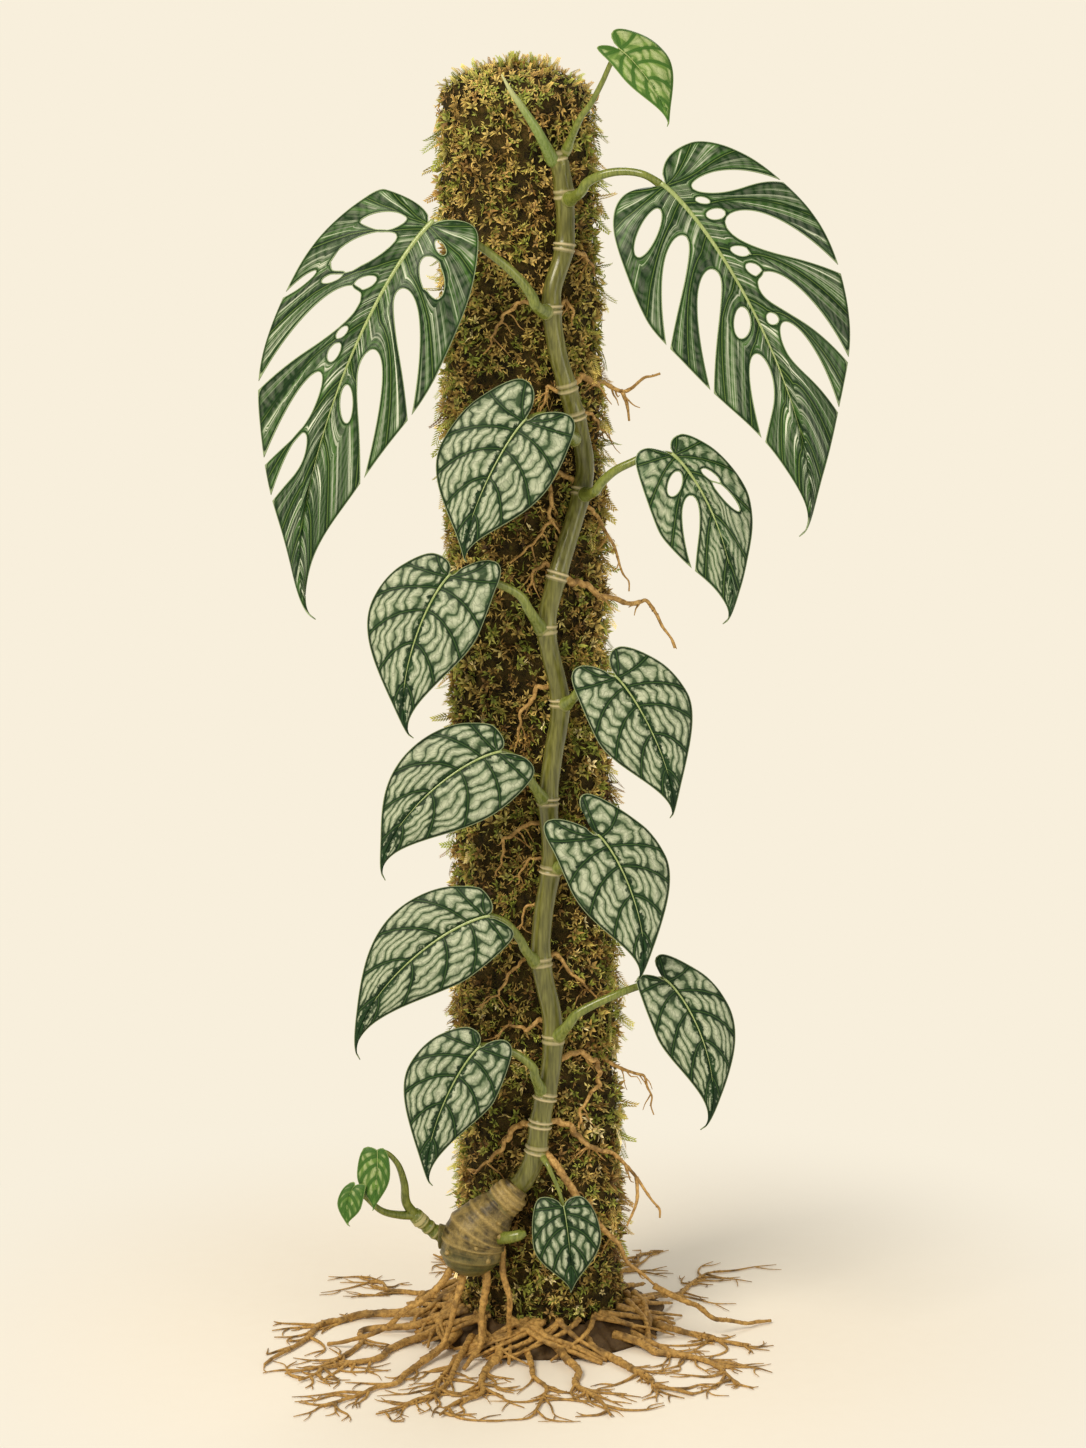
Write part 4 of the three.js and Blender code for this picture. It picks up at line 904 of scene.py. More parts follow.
def rows_of(leaf, hand, r):
    """The rows' q at every r, their places in the flow, and where a row starts an open hole."""
    plain = np.zeros_like(r)
    stations = [(line, plain) for line in laterals_of(leaf, hand, r)]
    stations += [(middle, width) for middle, width, _ in holes_of(leaf, hand, r)]
    stations.sort(key=lambda station: station[0][0])
    middle = np.array([plain + 0.03, *[m for m, _ in stations], plain + 1.0])
    width = np.array([plain, *[w for _, w in stations], plain])
    is_open = width > 0
    low, high = middle - width, middle + width
    # Where a hole is shut, its rows make way for the holes beside it.
    below = np.maximum.accumulate(np.where(is_open, high, 0.03), axis=0)
    above = np.minimum.accumulate(np.where(is_open, low, 1.0)[::-1], axis=0)[::-1]
    shut = np.clip(middle, below, np.maximum(above, below))
    low, high = np.where(is_open, low, shut), np.where(is_open, high, shut)
    rows, flow, gaps = [low[0]], [0.0], {}
    for k in range(1, len(middle)):
        low[k] = np.maximum(low[k], high[k - 1])
        high[k] = np.maximum(high[k], low[k])
        (u0, v0, _), (u1, v1, _) = (blade_place(leaf, hand, q, r) for q in (high[k - 1], low[k]))
        steps = max(int(np.hypot(u1 - u0, v1 - v0).max() / ROW_MM), 2)
        for step in range(1, steps + 1):
            rows.append(high[k - 1] + (low[k] - high[k - 1]) * step / steps)
            flow.append(flow[-1] + ROW_MM)
        if is_open[k].any():
            gaps[len(rows) - 1] = is_open[k]
            rows.append(high[k])
            flow.append(flow[-1])
    return np.array(rows), flow, gaps


def half_blade(bm, leaf, hand):
    r = columns_of(leaf, hand)
    q, flow, gaps = rows_of(leaf, hand, r)
    columns, rows = len(r) - 1, len(q) - 1
    r_all = np.broadcast_to(r, q.shape)
    u, v, height = blade_place(leaf, hand, q, r_all)
    lines = np.array(laterals_of(leaf, hand, r))
    line_u, line_v, _ = blade_place(leaf, hand, lines, np.broadcast_to(r, lines.shape))
    nearest = np.argmin(np.abs(q[:, None, :] - lines[None]), axis=1)
    spot_u, spot_v, way_u, way_v = (np.take_along_axis(table, nearest, axis=0) for table in (
        line_u, line_v, np.gradient(line_u, axis=1), np.gradient(line_v, axis=1)))
    vein = np.abs((u - spot_u) * way_v - (v - spot_v) * way_u)
    vein = vein / np.maximum(np.hypot(way_u, way_v), 1e-6)
    rib = np.abs(u - bow(leaf, v)) * 0.92 + np.maximum(-v, 0) * 0.5
    steps = (np.diff(table, axis=1, prepend=table[:, :1]) for table in (u, v))
    run = np.cumsum(np.hypot(*steps), axis=1)
    quilt = leaf["quilt"] * (1 - np.exp(-(vein / 2.0) ** 2))
    height = height + quilt * np.minimum(r_all * 5, 1) * (1.02 - r_all) ** 0.4
    made = bmesh.ops.create_grid(bm, x_segments=columns, y_segments=rows, size=0.5)
    layers = bm.verts.layers.float
    seats = {}
    for spot in made["verts"]:
        i, j = round((spot.co.x + 0.5) * columns), round((spot.co.y + 0.5) * rows)
        spot.co = in_leaf_plane(leaf, u[j, i], v[j, i], height[j, i])
        for key, value in (("vein", vein[j, i]), ("rib", rib[j, i]), ("lane", r[i]),
                           ("run", run[j, i]), ("flow", flow[j])):
            spot[layers[key]] = value
        seats[i, j] = spot
    holes = set()
    for j, is_open in gaps.items():
        for i in range(columns):
            if is_open[i] or is_open[i + 1]:
                corners = [seats[i, j], seats[i + 1, j], seats[i, j + 1], seats[i + 1, j + 1]]
                holes.update(f for f in corners[0].link_faces if all(c in f.verts for c in corners))
    bmesh.ops.delete(bm, geom=list(holes), context="FACES")
    bmesh.ops.remove_doubles(bm, verts=[s for s in made["verts"] if s.is_valid], dist=0.02)


def mark_edges(bm):
    """Writes each point's distance to the nearest free edge: the margin or a hole."""
    layers = bm.verts.layers.float
    ends = [(e.verts[0], e.verts[1]) for e in bm.edges
            if e.is_boundary and max(v[layers["lane"]] for v in e.verts) > 0.01]
    a = np.array([v.co for v, _ in ends])
    b = np.array([v.co for _, v in ends])
    run = b - a
    square = np.maximum((run**2).sum(axis=1), 1e-9)
    for v in bm.verts:
        spot = np.array(v.co)
        share = np.clip(((spot - a) * run).sum(axis=1) / square, 0, 1)
        gaps = (a + run * share[:, None]) - spot
        v[layers["edge"]] = float(np.sqrt((gaps**2).sum(axis=1).min()))


def blade(leaf, finishes, thickness):
    bm = bmesh.new()
    for layer in BLADE_LAYERS:
        bm.verts.layers.float.new(layer)
    for hand in (LEFT, RIGHT):
        half_blade(bm, leaf, hand)
    mark_edges(bm)
    bm.normal_update()
    bmesh.ops.reverse_faces(bm, faces=[f for f in bm.faces if f.normal.dot(leaf["normal"]) < 0])
    piece = place_piece(f"{leaf['name']}_blade", bm, finishes, leaf["name"])
    body = piece.modifiers.new("body of the blade", "SOLIDIFY")
    body.thickness = thickness * MM
    body.offset = 0
    body.material_offset = 1


print("rows follow", len(HEART_LATERALS), "lateral veins on each side of a heart-shaped leaf")

# %% [markdown]
# ### Finishes of the leaves
# Young leaves of this plant shine silver between their veins, because air lies under their skin
# there. The dark bands are widest along the midrib and the laterals and break up into feathers, so
# noise is added to the distance from the vein before it is cut into silver and green. A fine net
# of veinlets crosses the silver, a dark band and a pale rim follow the margin, and the midrib is
# pale. A grown leaf is green, with long streaks of painted sheen between fine lengthwise veins.

# %% Finishes of the leaves
def leaf_finish(name, dark, green, silver, shaded, vein_pale, silver_share, streaks, gloss,
                band=1.5, rim="#A9BC8E"):
    finish, tree, shader = new_finish(name)
    spot = add(tree, "TexCoord")["Object"]
    vein, rib, lane, run, flow, edge = (
        add(tree, "Attribute", attribute_name=key)["Fac"] for key in BLADE_LAYERS)
    # Three maps in the flow of the veins, with their steps across the veins and along them.
    maps = []
    for per_mm, per_vein in ((0.26, 8.0), (0.17, 0.7), (0.6, 0.9)):
        across = add(tree, "Math", {0: flow, 1: per_mm}, operation="MULTIPLY")[0]
        ahead = add(tree, "Math", {0: lane, 1: per_vein}, operation="MULTIPLY")[0]
        maps.append(add(tree, "CombineXYZ", {0: across, 1: ahead})[0])
    feather = add(tree, "TexNoise",
                  {"Vector": spot, "Scale": 330.0, "Detail": 3.0, "Roughness": 0.6})[0]
    rough = add(tree, "Math", {0: feather, 1: 8.0, 2: -4.0}, operation="MULTIPLY_ADD")[0]
    # Veinlets leave a lateral every six millimetres or so, slant outwards and thin out as they go.
    waver = add(tree, "TexNoise", {"Vector": spot, "Scale": 90.0, "Detail": 1.0})[0]
    slant = add(tree, "Math", {0: vein, 1: -0.35, 2: run}, operation="MULTIPLY_ADD")[0]
    steps = add(tree, "Math", {0: slant, 1: 0.16}, operation="MULTIPLY")[0]
    steps = add(tree, "Math", {0: waver, 1: 2.1, 2: steps}, operation="MULTIPLY_ADD")[0]
    gap = add(tree, "Math", {0: steps, 1: 0.5}, operation="PINGPONG")[0]
    thin = add(tree, "MapRange", {"Value": vein, 1: 0.5, 2: 3.8, 3: -1.4, 4: -0.15})[0]
    room = add(tree, "Math", {0: gap, 1: 5.6, 2: thin}, operation="MULTIPLY_ADD")[0]
    room = add(tree, "Math", {0: rough, 1: 0.16, 2: room}, operation="MULTIPLY_ADD")[0]
    # A faint net of still finer ones fills the patches.
    warp = add(tree, "TexNoise", {"Vector": spot, "Scale": 300.0, "Detail": 2.0})["Color"]
    place = add(tree, "VectorMath", {0: warp, 1: (1.2, 1.0, 0.0), 2: maps[0]},
                operation="MULTIPLY_ADD")[0]
    net = add(tree, "TexVoronoi", {"Vector": place, "Scale": 1.0},
              feature="DISTANCE_TO_EDGE")[0]
    # Silver lies away from the veins, the midrib and the edge, and its bounds are feathered.
    off_vein = add(tree, "Math", {0: vein, 1: rough}, operation="ADD")[0]
    off_rib = add(tree, "Math", {0: rib, 1: rough}, operation="ADD")[0]
    off_edge = add(tree, "Math", {0: rough, 1: 0.22, 2: edge}, operation="MULTIPLY_ADD")[0]
    silvery = silver_share
    for value, start, end, least in (
            (room, 0.0, 0.5, 0.22), (net, 0.0, 0.1, 0.6), (off_edge, 1.2, 2.2, 0.0),
            (off_vein, band * 0.3, band * 0.9, 0.0), (off_rib, band, band * 1.7, 0.0)):
        share = add(tree, "MapRange", {"Value": value, 1: start, 2: end, 3: least})[0]
        silvery = add(tree, "Math", {0: silvery, 1: share}, operation="MULTIPLY")[0]
    # The green of the blade, with dark streaks and streaks of painted sheen that run with the
    # veins.
    blot = add(tree, "TexNoise", {"Vector": maps[1], "Scale": 1.0, "Detail": 2.0})[0]
    fine = add(tree, "TexNoise", {"Vector": maps[2], "Scale": 1.0, "Detail": 1.5})[0]
    # The sheen is a painted highlight: a pale colour laid in streaks along the veins.
    sheen = streaks
    for value, start, end in (
            (fine, 0.48, 0.64), (blot, 0.42, 0.6), (vein, 0.9, 2.6), (edge, 1.2, 3.0)):
        share = add(tree, "MapRange", {"Value": value, 1: start, 2: end})[0]
        sheen = add(tree, "Math", {0: sheen, 1: share}, operation="MULTIPLY")[0]
    bright = add(tree, "MapRange", {"Value": room, 1: 0.1, 2: 2.4})[0]
    foil = add(tree, "Mix", {0: bright, 6: shaded, 7: silver}, data_type="RGBA")[2]
    # Green, with painted sheen, dark streaks and silver, then the veins and the rim with their dark
    # borders.
    # The silver colour is also laid along the streaks as a painted sheen.
    tint = glaze(tree, green, (
        (blot, 0.38, 0.62, 1.0, 0.0, dark), (sheen, 0.0, 1.0, 0.0, 1.0, silver),
        (fine, 0.3, 0.42, 0.9 * streaks, 0.0, dark), (silvery, 0.0, 1.0, 0.0, 1.0, foil),
        (vein, 0.6, 1.4, 0.95, 0.0, dark), (vein, 0.1, 0.4, 0.6, 0.0, vein_pale),
        (edge, 0.7, 1.5, 0.95, 0.0, dark), (edge, 0.25, 0.6, 0.8, 0.0, rim)))
    bump = add(tree, "Bump", {"Height": net, "Strength": 0.25, "Distance": 0.0006})[0]
    wire(tree, shader, {
        "Base Color": tint, "Normal": bump, "Roughness": gloss, "Specular IOR Level": 0.2})
    return finish


# Satin silver with broad dark vein bands, and its matt, paler back.
silver_leaf = leaf_finish("young silver leaf skin", "#0E2710", "#213F1E", "#BCC4A8", "#6C7E5C",
                          "#45662F", 1.0, 0.0, 0.5, 1.5, "#A9B78A")
silver_back = leaf_finish("underside of a silver leaf", "#5F7A50", "#6E885A", "#8FA17C", "#7F926B",
                          "#A5B57A", 0.4, 0.1, 0.65)
# Leathery green with streaks of painted sheen and hardly any silver left, and its matt back.
cut_leaf = leaf_finish("grown leaf skin", "#0F2A0F", "#446A2C", "#DEE3CE", "#6E8A62",
                       "#6F8C42", 0.1, 1.0, 0.36, 1.2)
cut_back = leaf_finish("underside of a grown leaf", "#56743E", "#68884C", "#8CA072", "#7D9564",
                       "#A5B57A", 0.1, 0.25, 0.6)
# Between the two, and the thin yellow-green skin of a leaf that has just unrolled.
mixed_leaf = leaf_finish("half-grown leaf skin", "#0F280F", "#30552A", "#BFC7AA", "#6E835E",
                         "#5C7A3A", 0.85, 0.6, 0.42)
young_leaf = leaf_finish("new pale leaf skin", "#3A6224", "#668A3A", "#C2CC98", "#93A564",
                         "#4A702C", 0.7, 0.1, 0.42, 0.5, "#8FA862")
KINDS = {"heart": ((silver_leaf, silver_back), "leaf_silver", 0.6, 0.55),
         "cut": ((cut_leaf, cut_back), "leaf_green", 0.5, 0.6),
         "young": ((young_leaf, silver_back), "leaf_young", 0.3, 0.45)}
for leaf in LEAVES:
    leaf["kind"] = "cut" if leaf["slots"] else "heart" if "heart" in leaf["name"] else "young"
    finishes, slot, leaf["quilt"], thickness = KINDS[leaf["kind"]]
    if leaf["name"] == "cut_leaf_small":
        finishes = (mixed_leaf, cut_back)
    blade(leaf, finishes, thickness)

# %% [markdown]
# ### Midribs
# The midrib is a slim half-round cord along the blade's fold. It covers the line where the two
# halves meet, and it thins out to nothing at the tip, so a tube with a falling radius does it.

# %% Midribs
RIB_SHARES = (-0.012, 0.02, 0.06, 0.12, 0.2, 0.3, 0.42, 0.55, 0.68, 0.8, 0.9, 0.975)
rib_skin = green_finish("pale midrib skin", "#75894A", "#8FA25C", "#B0BC80", 0.8)
for leaf in LEAVES:
    bm = new_body()
    length, big = leaf["length"], 1.0 if leaf["slots"] else 0.72
    points = []
    for v in (share * length for share in RIB_SHARES):
        height = -BLADE_DROOP * length * (max(v, 0) / length) ** 2 + 0.1
        points.append(in_leaf_plane(leaf, float(bow(leaf, np.array(float(v)))), v, height))
    thick = big * min(length / 90, 1.5)
    bent_tube(bm, points, lambda t, angle, run: thick * (0.22 + 0.85 * (1 - t) ** 0.9), 8, 1.6)
    place_piece(f"{leaf['name']}_midrib", bm, [rib_skin], leaf["name"])

# %% [markdown]
# ## Leaf stalks
# A stalk clasps the stem with a swollen sheath, leaves it with a thin corky ring, and runs in one
# curve to the notch of its blade, where it swells a little again, at the joint that turns the leaf
# to the light. The radius follows exactly that.

# %% Leaf stalks
def root_end(t, run):
    """Rounds off the end that sits in the stem, over its first five millimetres."""
    return math.sqrt(max(1 - (1 - min(t * run / 5, 1)) ** 2, 0.04))


PETIOLE_END_R, BLADE_SEAT = 2.1, 0.5 + SEAT + 0.2
# Each stalk's place on the stem as (x, z), then where it goes as (x, y, z).
STALKS = {
    "heart_leaf_1": [(19, 541), (16, -61, 543), (10, -66, 550), (0, -70, 556)],
    "heart_leaf_2": [(2, 430), (-2, -60, 434), (-13, -66, 453), (-27, -70, 461), (-44, -71, 466)],
    "heart_leaf_3": [(10, 388), (15, -60, 389), (21, -65, 399), (31, -70, 407)],
    "heart_leaf_4": [(3, 331), (-2, -60, 336), (-9, -66, 349), (-17, -72, 361)],
    "heart_leaf_5": [(5, 291), (11, -60, 293), (17, -65, 305), (25, -70, 314)],
    "heart_leaf_6": [(-1, 235), (-7, -60, 238), (-13, -66, 252), (-22, -71, 264)],
    "heart_leaf_7": [(5, 190), (10, -61, 194), (19, -64, 207), (39, -65, 218), (59, -63, 225)],
    "heart_leaf_8": [(2, 156), (-3, -60, 162), (-6, -65, 176), (-20, -69, 187)],
    "heart_leaf_9": [(-3, 124), (0, -62, 122), (5, -66, 112), (9, -68, 103)],
    "top_leaf": [(11, 700), (16, -58, 715), (26, -63, 728), (33, -67, 741), (38, -70, 752)],
    "cut_leaf_left": [(5, 614), (-2, -60, 611), (-6, -64, 622), (-14, -69, 633), (-26, -74, 644),
                      (-44, -77, 656)],
    "cut_leaf_right": [(12, 677), (19, -60, 676), (24, -65, 685), (33, -70, 690), (45, -74, 692),
                       (57, -79, 690)],
    "cut_leaf_small": [(22, 510), (28, -60, 509), (32, -63, 516), (40, -67, 524), (49, -70, 529),
                       (60, -71.5, 533.5)],
}
SLIM_STALKS = {"heart_leaf_9": 0.5, "top_leaf": 0.68}
for leaf in LEAVES:
    if leaf["name"] not in STALKS:
        continue
    slim = SLIM_STALKS.get(leaf["name"], 1)
    end_r = PETIOLE_END_R * slim
    (x, z), *free = STALKS[leaf["name"]]
    knee = Vector(free[0]).lerp(Vector(free[1]), 0.55)
    points = [on_post(x, z - 3 * slim, STEM_OFF - 1.5), knee, *free[1:]]
    back = -(end_r + BLADE_SEAT)
    points += [in_leaf_plane(leaf, 0, 0.5, back), in_leaf_plane(leaf, 0, 5, back + 0.8)]

    def stalk_radius(t, angle, run):
        sheath = 1.0 * slim * math.exp(-((t * run - 8) / 4.5) ** 2)
        joint = 0.35 * slim * math.exp(-((t - 0.9) / 0.05) ** 2)
        groove = -0.12 * max(math.cos(angle), 0) ** 6
        return (end_r + 1.8 * slim * (1 - t) ** 2.2 + sheath + joint + groove) * root_end(t, run)

    def stalk_mark(t, run):
        return 0.6 * math.exp(-((t * run - 7.5) / 0.6) ** 2)

    bm = new_body()
    bent_tube(bm, points, stalk_radius, 14, 1.0, stalk_mark)
    place_piece(f"{leaf['name']}_petiole", bm, [stalk_skin], f"{leaf['name']}_stalk")

# %% [markdown]
# ## The growing tip
# The next leaf is still rolled up: a pale spear that tapers to a point. A shallow spiral groove
# winds along it, where the rolled blade overlaps itself.

# %% The growing tip
young_skin = green_finish("rolled new leaf skin", "#586E2A", "#6F8438", "#8FA056", 1.0, "#E2DFA8")
bm = new_body()
spear = [on_post(7, 694, STEM_OFF - 1), (-2, -57, 712), (-11, -62, 726), (-18, -65, 736),
         (-23, -67, 745)]
bent_tube(bm, spear, lambda t, angle, run: (3.7 * (1 - t) ** 0.75 + 0.35) * root_end(t, run)
          * (1 - 0.1 * max(math.cos(angle - 5 * t), 0) ** 8), 16, 0.8,
          lambda t, run: max(t - 0.6, 0) * 1.8)
place_piece("rolled_leaf", bm, [young_skin], "growing_spear")

# %% [markdown]
# ## The rhizome, its side shoot and the basal shoot
# Old stem on the ground turns to a woody rhizome with a scar ring for every leaf it once bore. The
# rings come from the radius, knobs of cut-off roots are small spheres pressed into it, and a corky
# collar wraps the place where the stem rises.

# %% The rhizome
RHIZOME = [(-15, -56, 101), (-22, -57, 93), (-31, -58, 84), (-39, -58, 74), (-42, -58, 62),
           (-43, -58, 48)]
RHIZOME_R = [7.6, 10, 15, 18.6, 18, 12.5]
RHIZOME_BRANCH = [(-44, -56, 71), (-53, -54, 70), (-61, -53, 70)]
COLLAR = [(-17, -58, 99), (-26, -58, 90)]
CUT_ROOTS = ((0.42, 0.5), (0.5, -0.7), (0.6, 0.9), (0.68, 0.1), (0.76, -0.9), (0.82, 0.6))
# Brown, rough cork with a dull shine, pale on its scars, greener low down and crossed by cracks.
bark, tree, shader = new_finish("corky rhizome bark")
spot = add(tree, "TexCoord")["Object"]
patch = add(tree, "TexNoise",
            {"Vector": spot, "Scale": 120.0, "Detail": 6.0, "Roughness": 0.6})[0]
crack = add(tree, "TexVoronoi", {"Vector": spot, "Scale": 380.0},
            feature="DISTANCE_TO_EDGE")[0]
mark, along = (add(tree, "Attribute", attribute_name=key)["Fac"] for key in ("mark", "along"))
tint = glaze(tree, "#352C12", (
    (patch, 0.4, 0.62, 0.0, 1.0, "#96824A"), (mark, 0.0, 1.0, 0.0, 1.0, "#AE965A"),
    (along, 0.62, 0.85, 0.0, 0.6, "#4A5226"), (crack, 0.0, 0.08, 0.4, 0.0, "#4A3A20")))
bump = add(tree, "Bump", {"Height": patch, "Strength": 0.9, "Distance": 0.0015})[0]
wire(tree, shader, {
    "Base Color": tint, "Roughness": 0.42, "Normal": bump, "Specular IOR Level": 0.4})


def round_grain(radius, t, angle, length, size, seed=0.0):
    """Noise on the skin of a tube of about this radius, so that it has no seam."""
    return grain((radius * math.cos(angle), radius * math.sin(angle), t * length), size, seed)


def rhizome_radius(t, angle, run):
    """Stout in the middle, with a step and a thin lip at every old leaf scar."""
    along = t * (len(RHIZOME_R) - 1)
    i = min(int(along), len(RHIZOME_R) - 2)
    body = RHIZOME_R[i] + (RHIZOME_R[i + 1] - RHIZOME_R[i]) * (along - i)
    body += 0.8 * scar_mark(t, run) + 0.9 * round_grain(9, t, angle, run, 8)
    end = math.sqrt(max(1 - max((t - 0.86) / 0.145, 0) ** 2, 0))
    return (body + 0.35 * round_grain(9, t, angle, run, 2.5)) * end


def scar_mark(t, run):
    ahead = t * run + 1.5 * math.sin(t * 9)
    scar = math.exp(-((ahead % 9.5 - 4.7) / 0.8) ** 2)
    return max(scar, 0.35 * max(math.sin(ahead * 2.4 + math.sin(ahead * 0.7)), 0) ** 2)


bm = new_body()
line = bent_tube(bm, RHIZOME, rhizome_radius, 40, 0.7, scar_mark)
bent_tube(bm, RHIZOME_BRANCH, lambda t, angle, run: 11 - 4.2 * t + 0.7 * math.sin(t * run * 0.8)
          + 0.5 * round_grain(8, t, angle, run, 5), 28, 0.7,
          lambda t, run: 0.8 * max(math.sin(t * run * 0.8), 0) ** 3)
bent_tube(bm, COLLAR, lambda t, angle, run: 9.8 + 1.2 * math.sin(math.pi * t)
          + 0.35 * math.sin(t * 22) + 0.6 * round_grain(8, t, angle, 15, 3), 36, 0.6,
          lambda t, run: 0.75 + 0.25 * math.sin(t * 22))
for k, (share, angle) in enumerate(CUT_ROOTS):
    out = rhizome_radius(share, angle, 70) * np.array((math.sin(angle), -math.cos(angle), 0.1))
    knob(bm, line[int(share * (SAMPLES - 1))] + out, 1.5 + 0.4 * (k % 3), 0.8)
place_piece("woody_rhizome", bm, [bark], "rhizome")

# %% The side shoot and the basal shoot
shoots = {leaf["name"]: leaf for leaf in LEAVES if leaf["name"].startswith("shoot")}


def behind(leaf, radius, on):
    """A place behind a blade, on millimetres down from its notch, for a stalk of this radius."""
    return in_leaf_plane(leaf, 0, on, -(radius + BLADE_SEAT))


bm = new_body()
bent_tube(bm, [(-58, -53, 69), (-66, -55, 75), (-76, -60, 86)],
          lambda t, angle, run: 4.3 + 0.3 * math.sin(t * 30), 16, 0.7,
          lambda t, run: 0.8 * max(math.sin(t * 30), 0) ** 4)
bent_tube(bm, [(-72, -58, 81), (-76, -60, 86)], lambda t, angle, run: 4.9 - 0.8 * t, 16, 0.8,
          lambda t, run: 0.8 * (t < 0.5))
long_stalk = [(-75, -60, 85), (-80, -65, 94), (-81, -71, 108), (-85, -77, 122), (-92, -82, 130),
              behind(shoots["shoot_leaf_1"], 1.2, 3)]
short_stalk = [(-75, -60, 85), (-84, -66, 87), (-94, -74, 92), (-104, -81, 103),
               behind(shoots["shoot_leaf_2"], 1.1, 3)]
bent_tube(bm, long_stalk, lambda t, angle, run: 3.1 - 1.9 * t, 12, 1.0)
bent_tube(bm, short_stalk, lambda t, angle, run: 2.9 - 1.8 * t, 12, 1.0)
place_piece("side_shoot_stalks", bm, [stalk_skin], "side_shoot")
bm = new_body()
bent_tube(bm, [(-26, -66, 73), (-19, -71, 75), (-10, -73, 78)],
          lambda t, angle, run: (4 - 0.9 * t) * (1 - 0.5 * max(t - 0.8, 0) / 0.2), 16, 0.7)
place_piece("basal_shoot_bud", bm, [stalk_skin], "basal_shoot")

# %% [markdown]
# ## Aerial roots
# Roots grow from the nodes and grip the moss. They are tan, a little crooked and uneven, with dark
# nubs where side roots will break out and thread-thin rootlets that fork off. Each is a tapering
# tube with lumpy radius, and small spheres and short thin tubes are added along it.

# %% Aerial roots
# Thickness, then the main route and a branch. A place is (x, z) on the post or (x, y, z) off it.
AERIAL_ROOTS = [
    (1.9, [(13, 648), (19, 647), (27, 639), (30, 631)], ()),
    (1.5, [(3, 615), (-6, 617), (-14, 617), (-24, 607), (-34, 588)], ()),
    (1.6, [(7, 614), (14, 618), (17, 611), (17, 604)], ()),
    (2.3, [(15, 569), (23, 575), (34, 568), (47, -12, 564), (58, -4, 572), (68, -2, 574)],
     [(46, -14, 564), (49, -8, 556), (50, -6, 547)]),
    (1.6, [(13, 567), (4, 570), (-2, 557)], ()),
    (1.3, [(20, 554), (27, 553), (34, 542), (38, 534)], ()),
    (1.8, [(20, 513), (10, 520), (4, 514), (3, 493), (-6, 481), (-19, 469)],
     [(3, 496), (8, 489), (12, 482)]),
    (1.5, [(22, 505), (31, 493), (42, -26, 476), (48, -20, 459), (50, -19, 449)], ()),
    (1.6, [(8, 463), (0, 469), (-7, 462), (-10, 453)], ()),
    (2.4, [(9, 459), (22, 457), (33, 446), (49, -15, 442), (62, -8, 442), (71, -8, 426),
           (77, -9, 414)], ()),
    (1.7, [(7, 398), (-2, 397), (-8, 389), (-12, 379), (-16, 362)], ()),
    (1.7, [(4, 318), (-7, 317), (-22, 308), (-23, 297), (-27, 285)], ()),
    (1.3, [(4, 296), (-7, 298), (-12, 291), (-16, 281)], ()),
    (1.4, [(1, 272), (-9, 268), (-14, 254)], ()),
    (1.7, [(-1, 239), (9, 239), (17, 227), (28, 216), (31, 209)], ()),
    (1.4, [(-1, 238), (-12, 236), (-20, 228), (-23, 220), (-36, 204)], ()),
    (1.8, [(5, 201), (-3, 199), (-10, 194), (-19, 196), (-28, 189)], ()),
    (2.3, [(4, 175), (13, 178), (24, 177), (32, 170), (34, 157), (27, 150), (23, 144), (21, 133)],
     ()),
    (1.4, [(33, -22, 172), (48, -24, 163), (61, -20, 158), (63, -20, 145), (66, -22, 135)], ()),
    (2.2, [(-3, 138), (-12, 137), (-19, 132), (-24, 121), (-36, 108), (-44, 103)], ()),
    (2.2, [(-2, 138), (8, 139), (15, 135), (26, 122), (41, 113), (56, -16, 94), (67, -16, 81),
           (70, -18, 70)], [(56, -16, 95), (56, -22, 82), (50, -28, 68)]),
    (2.9, [(-3, 124), (8, -60, 117), (20, -58, 96), (38, -48, 70), (52, -40, 50), (66, -34, 34)],
     ()),
]


def route_on_post(places, off):
    route = []
    for place, after in zip(places, [*places[1:], None]):
        route.append(on_post(*place, off) if len(place) == 2 else place)
        if len(place) == 2 and after and len(after) == 2:
            for share in (1 / 3, 2 / 3):
                x, z = (a + (b - a) * share for a, b in zip(place, after))
                route.append(on_post(x, z, off))
    return route


def root_finish(name, dark, mid, light, tip):
    """Dry root bark, tan with darker scars and a paler growing tip."""
    finish, tree, shader = new_finish(name)
    spot = add(tree, "TexCoord")["Object"]
    fleck = add(tree, "TexNoise",
                {"Vector": spot, "Scale": 420.0, "Detail": 5.0, "Roughness": 0.65})[0]
    patch = add(tree, "TexNoise", {"Vector": spot, "Scale": 90.0, "Detail": 2.0})[0]
    mark, along = (
        add(tree, "Attribute", attribute_name=key)["Fac"] for key in ("mark", "along"))
    tint = glaze(tree, mid, (
        (fleck, 0.36, 0.62, 0.0, 1.0, light), (patch, 0.52, 0.7, 0.0, 0.7, dark),
        (along, 0.7, 1.0, 0.0, 0.5, tip), (mark, 0.0, 1.0, 0.0, 1.0, dark)))
    bump = add(tree, "Bump", {"Height": fleck, "Strength": 0.5, "Distance": 0.0006})[0]
    wire(tree, shader, {"Base Color": tint, "Roughness": 0.72, "Normal": bump})
    return finish


aerial_bark = root_finish("dry aerial root bark", "#573C1A", "#9A7236", "#DDB46E", "#BE9450")
ground_bark = root_finish("dry ground root bark", "#3E2B12", "#8A662E", "#CBA258", "#A37C3E")


def lumpy(thick, fall, seed):
    def radius(t, angle, run):
        lump = grain((t * run, 3 * math.cos(angle), 3 * math.sin(angle)), 3.2, seed)
        joint = 0.16 * max(math.sin(t * run * 0.55 + seed), 0) ** 6
        return thick * (1 - fall * t) * (1 + 0.2 * lump + joint)
    return radius


